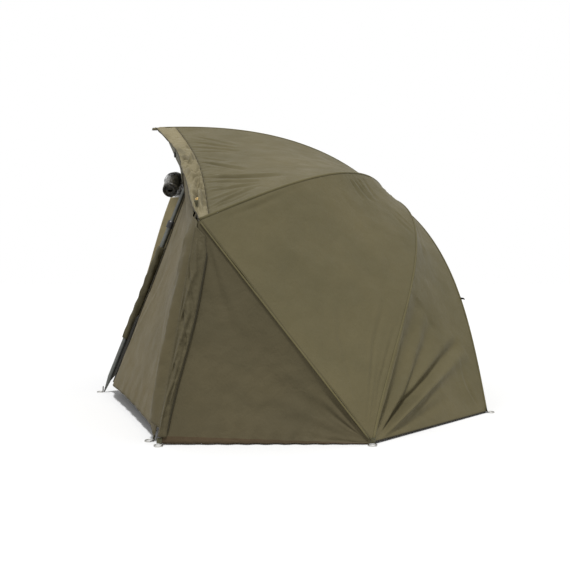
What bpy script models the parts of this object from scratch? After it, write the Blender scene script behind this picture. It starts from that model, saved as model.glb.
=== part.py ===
"""Fishing umbrella shelter: seven hinged ribs on a tilted hub, soft gores, a closed front
with a rolled door, and two telescopic storm poles. Metres, +Z up, the front faces -Y."""
import math

import bpy
from mathutils import Matrix, Vector

# Hub and umbrella axis
HUB_BACK = 0.56984
HUB_HEIGHT = 1.023
AXIS_TILT = math.radians(42.0)

# Ribs: directions measured round the umbrella axis from the front
RIB_FRONT_ANGLE = math.radians(0.0)
RIB_CORNER_ANGLE = math.radians(68.5)
RIB_SIDE_ANGLE = math.radians(110.14)
RIB_REAR_ANGLE = math.radians(139.05)
RIB_FRONT_LENGTH = 1.358
RIB_CORNER_LENGTH = 1.609
RIB_RADIUS = 0.004
RIB_CURVE_LENGTH = 1.2
RIB_START_SLOPE = -0.09
RIB_BEND_SHARE = 1.29
RIB_EASE_SHARE = 0.467
RIB_COMMON_LENGTH = 0.36
RIB_SIDE_BEND_SHARE = 0.3257
RIB_SIDE_EASE_SHARE = 0.3352
RIB_REAR_BEND_SHARE = -0.0517
RIB_REAR_EASE_SHARE = 0.1030
RIB_HINGE_RADIUS = 0.052
RIB_STATIONS = 12
KNUCKLE_RADIUS = 0.0046
KNUCKLE_WIDTH = 0.008
FOOT_RADIUS = 0.007
FOOT_HEIGHT = 0.015
HEM_OVERHANG = 0.005
HEM_REACH_SIDE = 0.0045
HEM_REACH_REAR = 0.0069
HEM_BAND = 0.050
TIP_CAP_RADIUS = 0.0075
TIP_CAP_LENGTH = 0.045
TIP_CAP_OVERLAP = 0.030

# Hub, shaft and runner
HUB_RADIUS = 0.064
HUB_TOP = 0.003
HUB_RIM_HEIGHT = 0.015
HUB_NECK_RADIUS = 0.024
HUB_NECK_LENGTH = 0.038
HUB_SOCKET_DEPTH = 0.030
HUB_SLOT_INNER = 0.040
HUB_CAP_RADIUS = 0.058
HUB_CAP_HEIGHT = 0.018
HUB_CAP_EDGE = 0.004
SHAFT_RADIUS = 0.0125
SHAFT_WALL = 0.0015
SHAFT_LENGTH = 0.62
SHAFT_PLUG_LENGTH = 0.055
SHAFT_PLUG_DEPTH = 0.030
SHAFT_PLUG_COLLAR = 0.0165
RUNNER_DROP = 0.160
RUNNER_HINGE_RADIUS = 0.036
RUNNER_FLANGE_RADIUS = 0.046
RUNNER_FLANGE_HEIGHT = 0.014
RUNNER_SLEEVE_RADIUS = 0.019
RUNNER_LENGTH = 0.075
RUNNER_SLOT_INNER = 0.028
RUNNER_SLOT_SPARE = 0.0012
TRIGGER_WIDTH = 0.012
TRIGGER_LENGTH = 0.022
TRIGGER_DROP = 0.050
TRIGGER_OUT = 0.004
TRIGGER_POCKET = 0.0045
TRIGGER_EDGE = 0.0009

# Stretchers between the runner and the ribs
STRETCHER_RIB_ARC = 0.340
STRETCHER_RADIUS = 0.0028
STRETCHER_EYE_RADIUS = 0.0045
STRETCHER_DROP = 0.0035
STRETCHER_EYE_WIDTH = 0.0050
STRETCHER_LAP = 0.0005

# Canopy cloth
CLOTH = 0.0020
GORE_START_ARC = 0.024
GORE_LIFT = 0.0060
GORE_COLUMNS = 10
SEAM_GAP = 0.0004
SHEET_GAP = 0.0006
BRIM_FRONT_WIDTH = 0.112
BRIM_CORNER_WIDTH = 0.050
BRIM_COLUMNS = 12
BRIM_CURVE = 0.040
REAR_FOLD_DEPTH = 0.016
REAR_FOLDS = 3.5
FRONT_FOLD_DEPTH = 0.007
FRONT_FOLDS = 4.0
GORE_SAG = 0.012

# Ground places of the pegged corners
CORNER_SIDE = 1.385
CORNER_AHEAD = 0.995
HEM_LIFT = 0.004
SKIRT_ROWS = 8
SKIRT_COLUMNS = 12
SKIRT_DROP = 0.0012
SKIRT_END_SHARE = 0.985
SKIRT_SAG = 0.020

# Storm poles: one on each side of the doorway
POLE_FOOT_SIDE = 0.275
POLE_FOOT_AHEAD = 1.475
POLE_TOP_SIDE = 0.315
POLE_TOP_AHEAD = 1.037
POLE_TOP_HEIGHT = 1.078
POLE_RADIUS = 0.0125
POLE_WALL = 0.0015
POLE_LOWER_LENGTH = 0.905
POLE_SPIKE_LENGTH = 0.085
POLE_SPIKE_TIP = 0.0025
POLE_UPPER_RADIUS = 0.0102
POLE_UPPER_WALL = 0.0015
POLE_UPPER_INSERT = 0.300
POLE_CAP_LENGTH = 0.018
POLE_FIT = 0.0004
CLAMP_RADIUS = 0.0185
CLAMP_LENGTH = 0.039
CLAMP_TAPER_SHARE = 0.8
CLAMP_LEVER_OUT = 0.012
CLAMP_LEVER_WIDTH = 0.012
CLAMP_LEVER_HEIGHT = 0.026
SLEEVE_RADIUS = 0.020
SLEEVE_LENGTH = 0.500
SLEEVE_BELOW_CLAMP = 0.105

# Front panels, corner flaps and door
PANEL_ROWS = 10
PANEL_COLUMNS = 12
PANEL_CORNER_SIDE = 1.330
PANEL_CORNER_AHEAD = 1.023
PANEL_TOP_BACK_SHARE = 0.40
PANEL_TOP_DROP = 0.0013
PANEL_BELLY = 0.018
PANEL_SEAM_BACK = 0.030
PANEL_HEM_SHARE = 0.042
PANEL_BEND_SHARE = 0.86
PANEL_JOINT_SHARE = 0.97
PANEL_TOP_END_SHARE = 0.96
FLAP_STAND = 0.0026
FLAP_FOLD = 0.014
FLAP_LEAN_SHARE = 0.35
FLAP_ROWS = 12
FLAP_COLUMNS = 6
FLAP_START_SHARE = 0.06
FLAP_END_SHARE = 0.84
HEADER_ROWS = 5
HEADER_COLUMNS = 10
HEADER_BOTTOM = 1.060
HEADER_NOTCH = 0.0125
HEADER_RAISE = 0.0005
HEADER_BOTTOM_AHEAD = 1.065
HEADER_WIDTH_SHARE = 0.985
ROLL_RADIUS = 0.043
ROLL_HALF_LENGTH = 0.225
ROLL_SEAT = 0.0004
ROLL_HEIGHT = 1.040
ROLL_RISE = 0.085
ROLL_STATIONS = 12
ROLL_SIDES = 20
ROLL_GROOVE = 0.0035
ROLL_TURNS = 3.0
ROLL_STEP_SHARE = 0.01
STRAP_SIDE = 0.120
STRAP_THICKNESS = 0.0025
STRAP_WIDTH = 0.024
STRAP_GAP = 0.0004

# Peg rings
RING_RADIUS = 0.0155
RING_WIRE = 0.0020
RING_LIFT = 0.0025
RING_REACH_CORNER = 0.0192
RING_REACH_PANEL = 0.0190
RING_REACH_POLE = 0.0201
RING_SEGMENTS = 16
RING_SIDES = 6

# Clearances and modelling allowances
FIT = 0.0003
OVERRUN = 0.010
WELD = 0.00005
TURN_WELD = 0.00008
ROUND_SIDES = 40
SMALL_SIDES = 20

RIB_SET = (
    ("front", RIB_FRONT_ANGLE),
    ("corner_r", RIB_CORNER_ANGLE),
    ("corner_l", -RIB_CORNER_ANGLE),
    ("side_r", RIB_SIDE_ANGLE),
    ("side_l", -RIB_SIDE_ANGLE),
    ("rear_r", RIB_REAR_ANGLE),
    ("rear_l", -RIB_REAR_ANGLE),
)
SIDES = (("r", 1.0), ("l", -1.0))


def clear_scene():
    for item in list(bpy.data.objects):
        bpy.data.objects.remove(item, do_unlink=True)


def make_collection(name):
    group = bpy.data.collections.new(name)
    bpy.context.scene.collection.children.link(group)
    return group


def make_material(name, colour, roughness, metallic=0.0):
    surface = bpy.data.materials.new(name)
    surface.use_nodes = True
    shader = surface.node_tree.nodes["Principled BSDF"]
    shader.inputs["Base Color"].default_value = (*colour, 1.0)
    shader.inputs["Roughness"].default_value = roughness
    shader.inputs["Metallic"].default_value = metallic
    return surface


clear_scene()
PARTS = make_collection("fishing_umbrella")
CUTTERS = make_collection("cutters")

CANOPY_CLOTH = make_material("canopy_cloth", (0.155, 0.133, 0.079), 0.62)
SKIRT_CLOTH = make_material("skirt_cloth", (0.105, 0.087, 0.051), 0.68)
PANEL_CLOTH = make_material("panel_cloth", (0.150, 0.127, 0.078), 0.62)
BRIM_CLOTH = make_material("brim_cloth", (0.215, 0.190, 0.122), 0.60)
ROLL_CLOTH = make_material("door_cloth", (0.040, 0.034, 0.022), 0.45)
WEBBING = make_material("webbing", (0.060, 0.052, 0.026), 0.80)
BLACK_PLASTIC = make_material("black_plastic", (0.018, 0.018, 0.020), 0.45)
ALLOY = make_material("grey_alloy", (0.200, 0.205, 0.200), 0.35, 0.9)
STEEL = make_material("steel", (0.550, 0.545, 0.520), 0.30, 1.0)
RIB_FINISH = make_material("rib_finish", (0.045, 0.045, 0.042), 0.40, 0.3)


def frame(name, matrix):
    """An empty that carries the pieces of one moving body."""
    empty = bpy.data.objects.new(name, None)
    empty.matrix_world = matrix
    PARTS.objects.link(empty)
    return empty, matrix.copy()


def place(item, body, surface):
    """Hang an object, whose mesh is in the body's own coordinates, on the body's empty."""
    empty, _ = body
    item.parent = empty
    if item.data.materials:
        item.data.materials[0] = surface
    else:
        item.data.materials.append(surface)
    PARTS.objects.link(item)
    return item


def smooth(item, angle=math.radians(35.0)):
    item.data.shade_smooth()
    item.data.set_sharp_from_angle(angle=angle)


def mesh_object(name, points, faces):
    data = bpy.data.meshes.new(name)
    data.from_pydata([tuple(point) for point in points], [], faces)
    data.update()
    return bpy.data.objects.new(name, data)


def turned(name, outline, sides=ROUND_SIDES, ring=False):
    """A profile turned about local Z: it runs down the outer side, from top to bottom."""
    points = [(radius, 0.0, height) for radius, height in outline]
    edges = [(index, index + 1) for index in range(len(points) - 1)]
    if ring:
        edges.append((len(points) - 1, 0))
    data = bpy.data.meshes.new(name)
    data.from_pydata(points, edges, [])
    item = bpy.data.objects.new(name, data)
    screw = item.modifiers.new("turn", "SCREW")
    screw.axis = "Z"
    screw.angle = 2.0 * math.pi
    screw.steps = sides
    screw.render_steps = sides
    screw.use_merge_vertices = True
    screw.merge_threshold = TURN_WELD
    screw.use_smooth_shade = True
    return item


def wire(name, points, radius, resolution=2):
    """A round bar along a chain of points, with filled ends."""
    data = bpy.data.curves.new(name, "CURVE")
    data.dimensions = "3D"
    data.bevel_depth = radius
    data.bevel_resolution = resolution
    data.use_fill_caps = True
    data.resolution_u = 1
    data.render_resolution_u = 1
    line = data.splines.new("POLY")
    line.points.add(len(points) - 1)
    for slot, point in zip(line.points, points):
        slot.co = (*point, 1.0)
    return bpy.data.objects.new(name, data)


def to_mesh(item):
    """Turn a curve object, or one with modifiers, into a welded mesh object."""
    bpy.context.scene.collection.objects.link(item)
    bpy.context.view_layer.update()
    graph = bpy.context.evaluated_depsgraph_get()
    data = bpy.data.meshes.new_from_object(item.evaluated_get(graph))
    name = item.name
    bpy.data.objects.remove(item, do_unlink=True)
    solid = bpy.data.objects.new(name, data)
    solid.name = name
    weld = solid.modifiers.new("weld", "WELD")
    weld.merge_threshold = WELD
    return solid


def unlink(item):
    for group in list(item.users_collection):
        group.objects.unlink(item)


def block(name, size, centre):
    bpy.ops.mesh.primitive_cube_add(size=1.0, location=(0.0, 0.0, 0.0))
    item = bpy.context.active_object
    unlink(item)
    item.name = name
    item.data.transform(Matrix.Translation(centre) @ Matrix.Diagonal((*size, 1.0)))
    return item


def cylinder(name, radius, depth, matrix, sides=SMALL_SIDES):
    bpy.ops.mesh.primitive_cylinder_add(vertices=sides, radius=radius, depth=depth)
    item = bpy.context.active_object
    unlink(item)
    item.name = name
    item.data.transform(matrix)
    return item


def as_cutter(item, body):
    empty, _ = body
    item.parent = empty
    item.hide_render = True
    item.display_type = "WIRE"
    CUTTERS.objects.link(item)


def combine(item, tool, body, operation):
    """Join a tool to an item, or cut it out, both in the same body's coordinates."""
    as_cutter(tool, body)
    step = item.modifiers.new(tool.name, "BOOLEAN")
    step.operation = operation
    step.object = tool


def sheet(name, grid, body, surface, outward):
    """Cloth of even thickness on a grid of world points, grown towards the outward side."""
    _, matrix = body
    inverse = matrix.inverted()
    rows = len(grid)
    columns = len(grid[0])
    points = [inverse @ point for row in grid for point in row]
    faces = []
    for row in range(rows - 1):
        for column in range(columns - 1):
            first = row * columns + column
            faces.append((first, first + 1, first + columns + 1, first + columns))
    middle_row = rows // 2
    middle_column = columns // 2
    along = grid[middle_row][middle_column] - grid[middle_row][middle_column - 1]
    across = grid[middle_row][middle_column] - grid[middle_row - 1][middle_column]
    if along.cross(across).dot(outward) < 0.0:
        faces = [tuple(reversed(face)) for face in faces]
    item = mesh_object(name, points, faces)
    shell = item.modifiers.new("cloth", "SOLIDIFY")
    shell.thickness = CLOTH
    shell.offset = 1.0
    shell.use_even_offset = False
    place(item, body, surface)
    smooth(item, math.radians(60.0))
    return item


def mix(first, second, share):
    return first.lerp(second, share)


# The umbrella's own frame: +Z is its axis, -Y its front
HUB_MATRIX = Matrix.Translation((0.0, HUB_BACK, HUB_HEIGHT)) @ Matrix.Rotation(-AXIS_TILT, 4, "X")


def extra_bend(angle):
    """How a rib's outer part differs from the front rib: more bend, then how it eases off."""
    if abs(angle) == RIB_SIDE_ANGLE:
        return RIB_SIDE_BEND_SHARE, RIB_SIDE_EASE_SHARE
    if abs(angle) == RIB_REAR_ANGLE:
        return RIB_REAR_BEND_SHARE, RIB_REAR_EASE_SHARE
    return 0.0, 0.0


def rib_profile(arc, angle=RIB_FRONT_ANGLE):
    """Distance from the axis, drop below the hub and slope, at an arc length along a rib."""
    steps = 24
    reach = 0.0
    drop = 0.0
    for index in range(steps):
        middle = arc * (index + 0.5) / steps
        slope = rib_slope(middle, angle)
        reach += math.cos(slope) * arc / steps
        drop += math.sin(slope) * arc / steps
    return reach, drop, rib_slope(arc, angle)


def rib_slope(arc, angle):
    share = arc / RIB_CURVE_LENGTH
    slope = RIB_START_SLOPE + RIB_BEND_SHARE * share - RIB_EASE_SHARE * share * share
    bend, ease = extra_bend(angle)
    outer = max(0.0, arc - RIB_COMMON_LENGTH) / RIB_CURVE_LENGTH
    return slope + bend * outer - ease * outer * outer


HINGE_DROP = rib_profile(RIB_HINGE_RADIUS)[1]


def rib_matrix(angle):
    """A rib's frame: origin on its hinge, +X outward, +Y along the hinge, +Z the axis."""
    turn = Matrix.Rotation(angle - math.pi / 2.0, 4, "Z")
    return HUB_MATRIX @ turn @ Matrix.Translation((RIB_HINGE_RADIUS, 0.0, -HINGE_DROP))


def rib_local(angle, arc, lift=0.0, aside=0.0):
    reach, drop, slope = rib_profile(arc, angle)
    return Vector((
        reach - RIB_HINGE_RADIUS + lift * math.sin(slope),
        aside,
        HINGE_DROP - drop + lift * math.cos(slope),
    ))


def rib_world(angle, arc, lift=0.0, aside=0.0):
    return rib_matrix(angle) @ rib_local(angle, arc, lift, aside)


def arc_to_ground(angle, height):
    """Arc length at which a rib comes down to a height over the ground."""
    low = RIB_CURVE_LENGTH / 2.0
    high = RIB_CURVE_LENGTH * 2.0
    for _ in range(40):
        middle = (low + high) / 2.0
        if rib_world(angle, middle).z > height:
            low = middle
        else:
            high = middle
    return low


RIB_SIDE_LENGTH = arc_to_ground(RIB_SIDE_ANGLE, FOOT_HEIGHT / 2.0)
RIB_REAR_LENGTH = arc_to_ground(RIB_REAR_ANGLE, FOOT_HEIGHT / 2.0)
RIB_LENGTHS = {
    "front": RIB_FRONT_LENGTH,
    "corner": RIB_CORNER_LENGTH,
    "side": RIB_SIDE_LENGTH,
    "rear": RIB_REAR_LENGTH,
}
SEAM_BANDS = {
    "front": BRIM_FRONT_WIDTH + SHEET_GAP,
    "corner": BRIM_CORNER_WIDTH + SHEET_GAP,
    "side": HEM_BAND,
    "rear": HEM_BAND,
}
CANOPY_CENTRE = Vector((0.0, 0.0, HUB_HEIGHT / 2.0))

ROOT = frame("shelter", Matrix.Identity(4))
UMBRELLA = frame("umbrella_axis", HUB_MATRIX)
RUNNER = frame("runner_body", HUB_MATRIX @ Matrix.Translation((0.0, 0.0, -RUNNER_DROP)))
RIB_BODIES = {
    name: frame("rib_" + name + "_body", rib_matrix(angle)) for name, angle in RIB_SET
}

HALF_SQUARE = math.pi / 2.0
ACROSS_Y = Matrix.Rotation(HALF_SQUARE, 4, "X")
STRETCHER_SIDE = RIB_RADIUS + STRETCHER_EYE_WIDTH / 2.0 + STRETCHER_LAP


def spoke(angle):
    """Rotation about the umbrella axis that turns +X to a rib's direction."""
    return Matrix.Rotation(angle - HALF_SQUARE, 4, "Z")


def build_hub():
    bottom = HUB_TOP - HUB_RIM_HEIGHT
    neck_bottom = bottom - HUB_NECK_LENGTH
    hub = turned("hub_boss", (
        (0.0, HUB_TOP),
        (HUB_RADIUS - HUB_CAP_EDGE / 2.0, HUB_TOP),
        (HUB_RADIUS, HUB_TOP - HUB_CAP_EDGE / 2.0),
        (HUB_RADIUS, bottom),
        (HUB_NECK_RADIUS, bottom),
        (HUB_NECK_RADIUS, neck_bottom),
        (0.0, neck_bottom),
    ))
    hub = to_mesh(hub)
    slot_depth = HUB_RADIUS + OVERRUN - HUB_SLOT_INNER
    slot_centre = (HUB_SLOT_INNER + slot_depth / 2.0, 0.0, HUB_TOP - HUB_RIM_HEIGHT / 2.0)
    slot_size = (slot_depth, KNUCKLE_WIDTH + 2.0 * FIT, HUB_RIM_HEIGHT + 2.0 * OVERRUN)
    for name, angle in RIB_SET:
        slot = block("hub_slot_" + name, slot_size, slot_centre)
        slot.data.transform(spoke(angle))
        combine(hub, slot, UMBRELLA, "DIFFERENCE")
    socket_length = HUB_SOCKET_DEPTH + OVERRUN
    socket_middle = neck_bottom + HUB_SOCKET_DEPTH - socket_length / 2.0
    socket = cylinder(
        "hub_socket", SHAFT_RADIUS + FIT, socket_length,
        Matrix.Translation((0.0, 0.0, socket_middle)), ROUND_SIDES)
    combine(hub, socket, UMBRELLA, "DIFFERENCE")
    place(hub, UMBRELLA, BLACK_PLASTIC)

    reach, drop, _ = rib_profile(HUB_CAP_RADIUS)
    seat = GORE_LIFT + CLOTH + FIT - drop
    dome = [(0.0, seat + HUB_CAP_HEIGHT)]
    steps = 6
    for index in range(1, steps + 1):
        lean = HALF_SQUARE * index / steps
        dome.append((
            reach * math.sin(lean),
            seat + HUB_CAP_EDGE + (HUB_CAP_HEIGHT - HUB_CAP_EDGE) * math.cos(lean),
        ))
    dome.append((reach, seat))
    dome.append((0.0, seat))
    cap = turned("hub_cap", dome)
    place(cap, UMBRELLA, CANOPY_CLOTH)

    shaft_top = neck_bottom + HUB_SOCKET_DEPTH - FIT
    shaft_bottom = shaft_top - SHAFT_LENGTH
    inner = SHAFT_RADIUS - SHAFT_WALL
    shaft = turned("shaft_tube", (
        (SHAFT_RADIUS, shaft_top),
        (SHAFT_RADIUS, shaft_bottom),
        (inner, shaft_bottom),
        (inner, shaft_top),
    ), SMALL_SIDES, ring=True)
    place(shaft, UMBRELLA, ALLOY)

    collar_top = shaft_bottom - FIT
    plug_top = shaft_bottom + SHAFT_PLUG_DEPTH
    plug_bottom = collar_top - (SHAFT_PLUG_LENGTH - SHAFT_PLUG_DEPTH)
    plug = turned("shaft_end", (
        (0.0, plug_top),
        (inner - FIT, plug_top),
        (inner - FIT, collar_top),
        (SHAFT_PLUG_COLLAR, collar_top),
        (SHAFT_PLUG_COLLAR, plug_bottom),
        (0.0, plug_bottom),
    ), SMALL_SIDES)
    place(plug, UMBRELLA, BLACK_PLASTIC)


def build_runner():
    top = RUNNER_FLANGE_HEIGHT / 2.0
    bottom = top - RUNNER_LENGTH
    bore = SHAFT_RADIUS + FIT
    runner = to_mesh(turned("runner", (
        (RUNNER_FLANGE_RADIUS, top),
        (RUNNER_FLANGE_RADIUS, -top),
        (RUNNER_SLEEVE_RADIUS, -top),
        (RUNNER_SLEEVE_RADIUS, bottom),
        (bore, bottom),
        (bore, top),
    ), ROUND_SIDES, ring=True))
    slot_depth = RUNNER_FLANGE_RADIUS + OVERRUN - RUNNER_SLOT_INNER
    slot_size = (
        slot_depth, STRETCHER_EYE_WIDTH + RUNNER_SLOT_SPARE, RUNNER_FLANGE_HEIGHT + 2.0 * OVERRUN)
    slot_centre = (RUNNER_SLOT_INNER + slot_depth / 2.0, STRETCHER_SIDE, 0.0)
    for name, angle in RIB_SET:
        slot = block("runner_slot_" + name, slot_size, slot_centre)
        slot.data.transform(spoke(angle))
        combine(runner, slot, RUNNER, "DIFFERENCE")
    pocket_size = (
        TRIGGER_POCKET + OVERRUN, TRIGGER_WIDTH + 2.0 * FIT, TRIGGER_LENGTH + 2.0 * FIT)
    pocket_inner = RUNNER_SLEEVE_RADIUS - TRIGGER_POCKET
    pocket = block("trigger_pocket", pocket_size, (
        pocket_inner + pocket_size[0] / 2.0, 0.0, -TRIGGER_DROP))
    pocket.data.transform(spoke(RIB_FRONT_ANGLE))
    combine(runner, pocket, RUNNER, "DIFFERENCE")
    place(runner, RUNNER, BLACK_PLASTIC)

    _, runner_matrix = RUNNER
    trigger_inner = pocket_inner + TRIGGER_OUT - FIT
    trigger_body = frame("trigger_body", runner_matrix @ spoke(RIB_FRONT_ANGLE)
                         @ Matrix.Translation((trigger_inner, 0.0, -TRIGGER_DROP)))
    trigger = block("runner_trigger", (TRIGGER_POCKET, TRIGGER_WIDTH, TRIGGER_LENGTH), (
        TRIGGER_POCKET / 2.0, 0.0, 0.0))
    edge = trigger.modifiers.new("edges", "BEVEL")
    edge.width = TRIGGER_EDGE
    edge.segments = 1
    place(trigger, trigger_body, ALLOY)


def build_rib(name, angle):
    body = RIB_BODIES[name]
    kind = name.split("_")[0]
    length = RIB_LENGTHS[kind]
    line = [rib_local(angle, arc) for arc in rib_stations(kind)]
    rib = to_mesh(wire("rib_" + name, line, RIB_RADIUS))
    knuckle = cylinder("knuckle_" + name, KNUCKLE_RADIUS, KNUCKLE_WIDTH, ACROSS_Y)
    combine(rib, knuckle, body, "UNION")
    if kind in ("side", "rear"):
        matrix = rib_matrix(angle)
        tip = rib_world(angle, length)
        inward = Vector((-tip.x, HUB_BACK - tip.y, 0.0)).normalized() * FOOT_RADIUS
        upright = Matrix.Translation((tip.x + inward.x, tip.y + inward.y, FOOT_HEIGHT / 2.0))
        foot = cylinder("foot_" + name, FOOT_RADIUS, FOOT_HEIGHT, matrix.inverted() @ upright)
        combine(rib, foot, body, "UNION")
    place(rib, body, RIB_FINISH)


def build_front_cap():
    body = RIB_BODIES["front"]
    centre = rib_local(RIB_FRONT_ANGLE, RIB_FRONT_LENGTH)
    first = rib_local(RIB_FRONT_ANGLE, RIB_FRONT_LENGTH - TIP_CAP_OVERLAP)
    along = (centre - first).normalized()
    tilt = along.to_track_quat("Z", "Y").to_matrix().to_4x4()
    bore = RIB_RADIUS + FIT
    top = TIP_CAP_LENGTH - TIP_CAP_OVERLAP
    nose = TIP_CAP_RADIUS / 2.0
    cap = to_mesh(turned("rib_tip_cap", (
        (0.0, top),
        (nose, top),
        (TIP_CAP_RADIUS, top - nose),
        (TIP_CAP_RADIUS, -TIP_CAP_OVERLAP),
        (bore, -TIP_CAP_OVERLAP),
        (bore, FIT),
        (0.0, FIT),
    ), SMALL_SIDES))
    cap.data.transform(Matrix.Translation(centre) @ tilt)
    place(cap, body, BLACK_PLASTIC)


def stretcher_geometry():
    """Lower hinge on the runner and upper eye beside the rib, in the rib's plane."""
    reach, drop, slope = rib_profile(STRETCHER_RIB_ARC)
    low = Vector((RUNNER_HINGE_RADIUS, 0.0, -RUNNER_DROP))
    high = Vector((
        reach - STRETCHER_DROP * math.sin(slope), 0.0, -drop - STRETCHER_DROP * math.cos(slope)))
    return low, high


def build_stretcher(name, angle):
    low, high = stretcher_geometry()
    matrix = HUB_MATRIX @ spoke(angle) @ Matrix.Translation(low)
    body = frame("stretcher_" + name + "_body", matrix)
    reach = high - low
    aside = Vector((0.0, STRETCHER_SIDE, 0.0))
    bar = to_mesh(wire("stretcher_" + name, [aside, reach + aside], STRETCHER_RADIUS))
    for label, centre in (("low", aside), ("high", reach + aside)):
        eye = cylinder(label + "_eye_" + name, STRETCHER_EYE_RADIUS, STRETCHER_EYE_WIDTH,
                       Matrix.Translation(centre) @ ACROSS_Y)
        combine(bar, eye, body, "UNION")
    place(bar, body, RIB_FINISH)


def rib_stations(kind):
    """Arc lengths at which a rib is sampled: even up to its seam band, then its end."""
    seam = RIB_LENGTHS[kind] - SEAM_BANDS[kind]
    step = (seam - RIB_HINGE_RADIUS) / RIB_STATIONS
    even = [RIB_HINGE_RADIUS + step * index for index in range(RIB_STATIONS + 1)]
    return even + [RIB_LENGTHS[kind]]


def seam_stations(kind, end):
    """The same arc lengths for the cloth on that rib, from the hub cap to an end."""
    return [GORE_START_ARC] + [arc for arc in rib_stations(kind) if arc < end - CLOTH] + [end]


def gore_grid(first_angle, first_arcs, second_angle, second_arcs, fold):
    """Cloth between two ribs: straight across, drawn down a little and folded where told."""
    grid = []
    turn = 1.0 if second_angle > first_angle else -1.0
    rows = len(first_arcs) - 1
    for row in range(rows + 1):
        first = rib_world(first_angle, first_arcs[row], GORE_LIFT, turn * SEAM_GAP)
        second = rib_world(second_angle, second_arcs[row], GORE_LIFT, -turn * SEAM_GAP)
        line = []
        for column in range(GORE_COLUMNS + 1):
            across = column / GORE_COLUMNS
            point = mix(first, second, across)
            inward = (CANOPY_CENTRE - point).normalized()
            line.append(point + inward * fold(row / rows, across))
        grid.append(line)
    return grid


def plain_fold(along, across):
    return GORE_SAG * math.sin(math.pi * across) * math.sin(math.pi * along)


def front_fold(along, across):
    """Level folds that run back from the brim and gather at the corner."""
    edge = math.sin(math.pi * across)
    ripple = 1.0 - math.cos(2.0 * math.pi * FRONT_FOLDS * across)
    return FRONT_FOLD_DEPTH * edge * ripple * along * (1.0 - along) + plain_fold(along, across)


def rear_fold(along, across):
    """Folds that fan out from the pegged foot of the side rib."""
    from_foot = math.atan2(1.0 - along, across)
    reach = math.hypot(1.0 - along, across)
    ripple = 1.0 - math.cos(4.0 * REAR_FOLDS * from_foot)
    edge = math.sin(math.pi * across) * math.sin(math.pi * along)
    fade = max(0.0, 1.0 - reach)
    return REAR_FOLD_DEPTH * ripple * edge * fade + plain_fold(along, across)


def build_gore(name, body_name, first, second, fold, brim_side=None):
    """A gore between two ribs; the front ones end along the brim's curved seam."""
    grid = gore_grid(*first, *second, fold)
    if brim_side is not None:
        for column in range(1, GORE_COLUMNS):
            edge, seam = brim_line(brim_side, column / GORE_COLUMNS)
            grid[-1][column] = seam + (seam - edge).normalized() * SHEET_GAP
    middle = grid[len(grid) // 2][GORE_COLUMNS // 2]
    return sheet(name, grid, RIB_BODIES[body_name], CANOPY_CLOTH, middle - CANOPY_CENTRE)


def brim_line(side, across):
    """Front edge and seam of the brim, from the front rib's tip to the corner rib's tip."""
    corner = side * RIB_CORNER_ANGLE
    start = SEAM_GAP * side
    edge_front = rib_world(RIB_FRONT_ANGLE, RIB_FRONT_LENGTH - TIP_CAP_OVERLAP, GORE_LIFT, start)
    edge_corner = rib_world(corner, RIB_CORNER_LENGTH, GORE_LIFT, -start)
    seam_front = rib_world(
        RIB_FRONT_ANGLE, RIB_FRONT_LENGTH - BRIM_FRONT_WIDTH, GORE_LIFT, start)
    seam_corner = rib_world(
        corner, RIB_CORNER_LENGTH - BRIM_CORNER_WIDTH, GORE_LIFT, -start)
    edge = mix(edge_front, edge_corner, across)
    seam = mix(seam_front, seam_corner, across)
    back = (seam - edge).normalized()
    set_back = back * BRIM_CURVE * math.sin(math.pi * across)
    return edge + set_back, seam + set_back


def build_canopy():
    side_end = RIB_SIDE_LENGTH + HEM_OVERHANG
    rear_end = RIB_REAR_LENGTH + HEM_OVERHANG
    for label, side in SIDES:
        corner = side * RIB_CORNER_ANGLE
        flank = side * RIB_SIDE_ANGLE
        rear = side * RIB_REAR_ANGLE
        front_arcs = seam_stations("front", RIB_FRONT_LENGTH - BRIM_FRONT_WIDTH - SHEET_GAP)
        seam_arcs = seam_stations("corner", RIB_CORNER_LENGTH - BRIM_CORNER_WIDTH - SHEET_GAP)
        corner_arcs = seam_stations("corner", RIB_CORNER_LENGTH)
        side_arcs = seam_stations("side", side_end)
        rear_arcs = seam_stations("rear", rear_end)
        build_gore("gore_front_" + label, "corner_" + label,
                   (RIB_FRONT_ANGLE, front_arcs), (corner, seam_arcs), front_fold, side)
        build_gore("gore_side_" + label, "side_" + label,
                   (corner, corner_arcs), (flank, side_arcs), plain_fold)
        build_gore("gore_rear_" + label, "rear_" + label,
                   (flank, side_arcs), (rear, rear_arcs), rear_fold)
        grid = []
        for row in range(3):
            line = []
            for column in range(BRIM_COLUMNS + 1):
                edge, seam = brim_line(side, column / BRIM_COLUMNS)
                line.append(mix(seam, edge, row / 2.0))
            grid.append(line)
        middle = grid[1][BRIM_COLUMNS // 2]
        sheet("brim_" + label, grid, RIB_BODIES["front"], BRIM_CLOTH, middle - CANOPY_CENTRE)
    build_back_gore(rear_end)


def build_back_gore(rear_end):
    """The gore between the two rear ribs, across the middle of the back."""
    grid = []
    arcs = seam_stations("rear", rear_end)
    rows = len(arcs) - 1
    for row, arc in enumerate(arcs):
        right = rib_world(RIB_REAR_ANGLE, arc, GORE_LIFT, SEAM_GAP)
        left = rib_world(-RIB_REAR_ANGLE, arc, GORE_LIFT, -SEAM_GAP)
        line = []
        for column in range(GORE_COLUMNS + 1):
            across = column / GORE_COLUMNS
            point = mix(right, left, across)
            inward = (CANOPY_CENTRE - point).normalized()
            line.append(point + inward * plain_fold(row / rows, across))
        grid.append(line)
    middle = grid[rows // 2][GORE_COLUMNS // 2]
    sheet("gore_back", grid, RIB_BODIES["rear_r"], CANOPY_CLOTH, middle - CANOPY_CENTRE)


def corner_tip(side):
    return rib_world(side * RIB_CORNER_ANGLE, RIB_CORNER_LENGTH, GORE_LIFT, side * SEAM_GAP)


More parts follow.
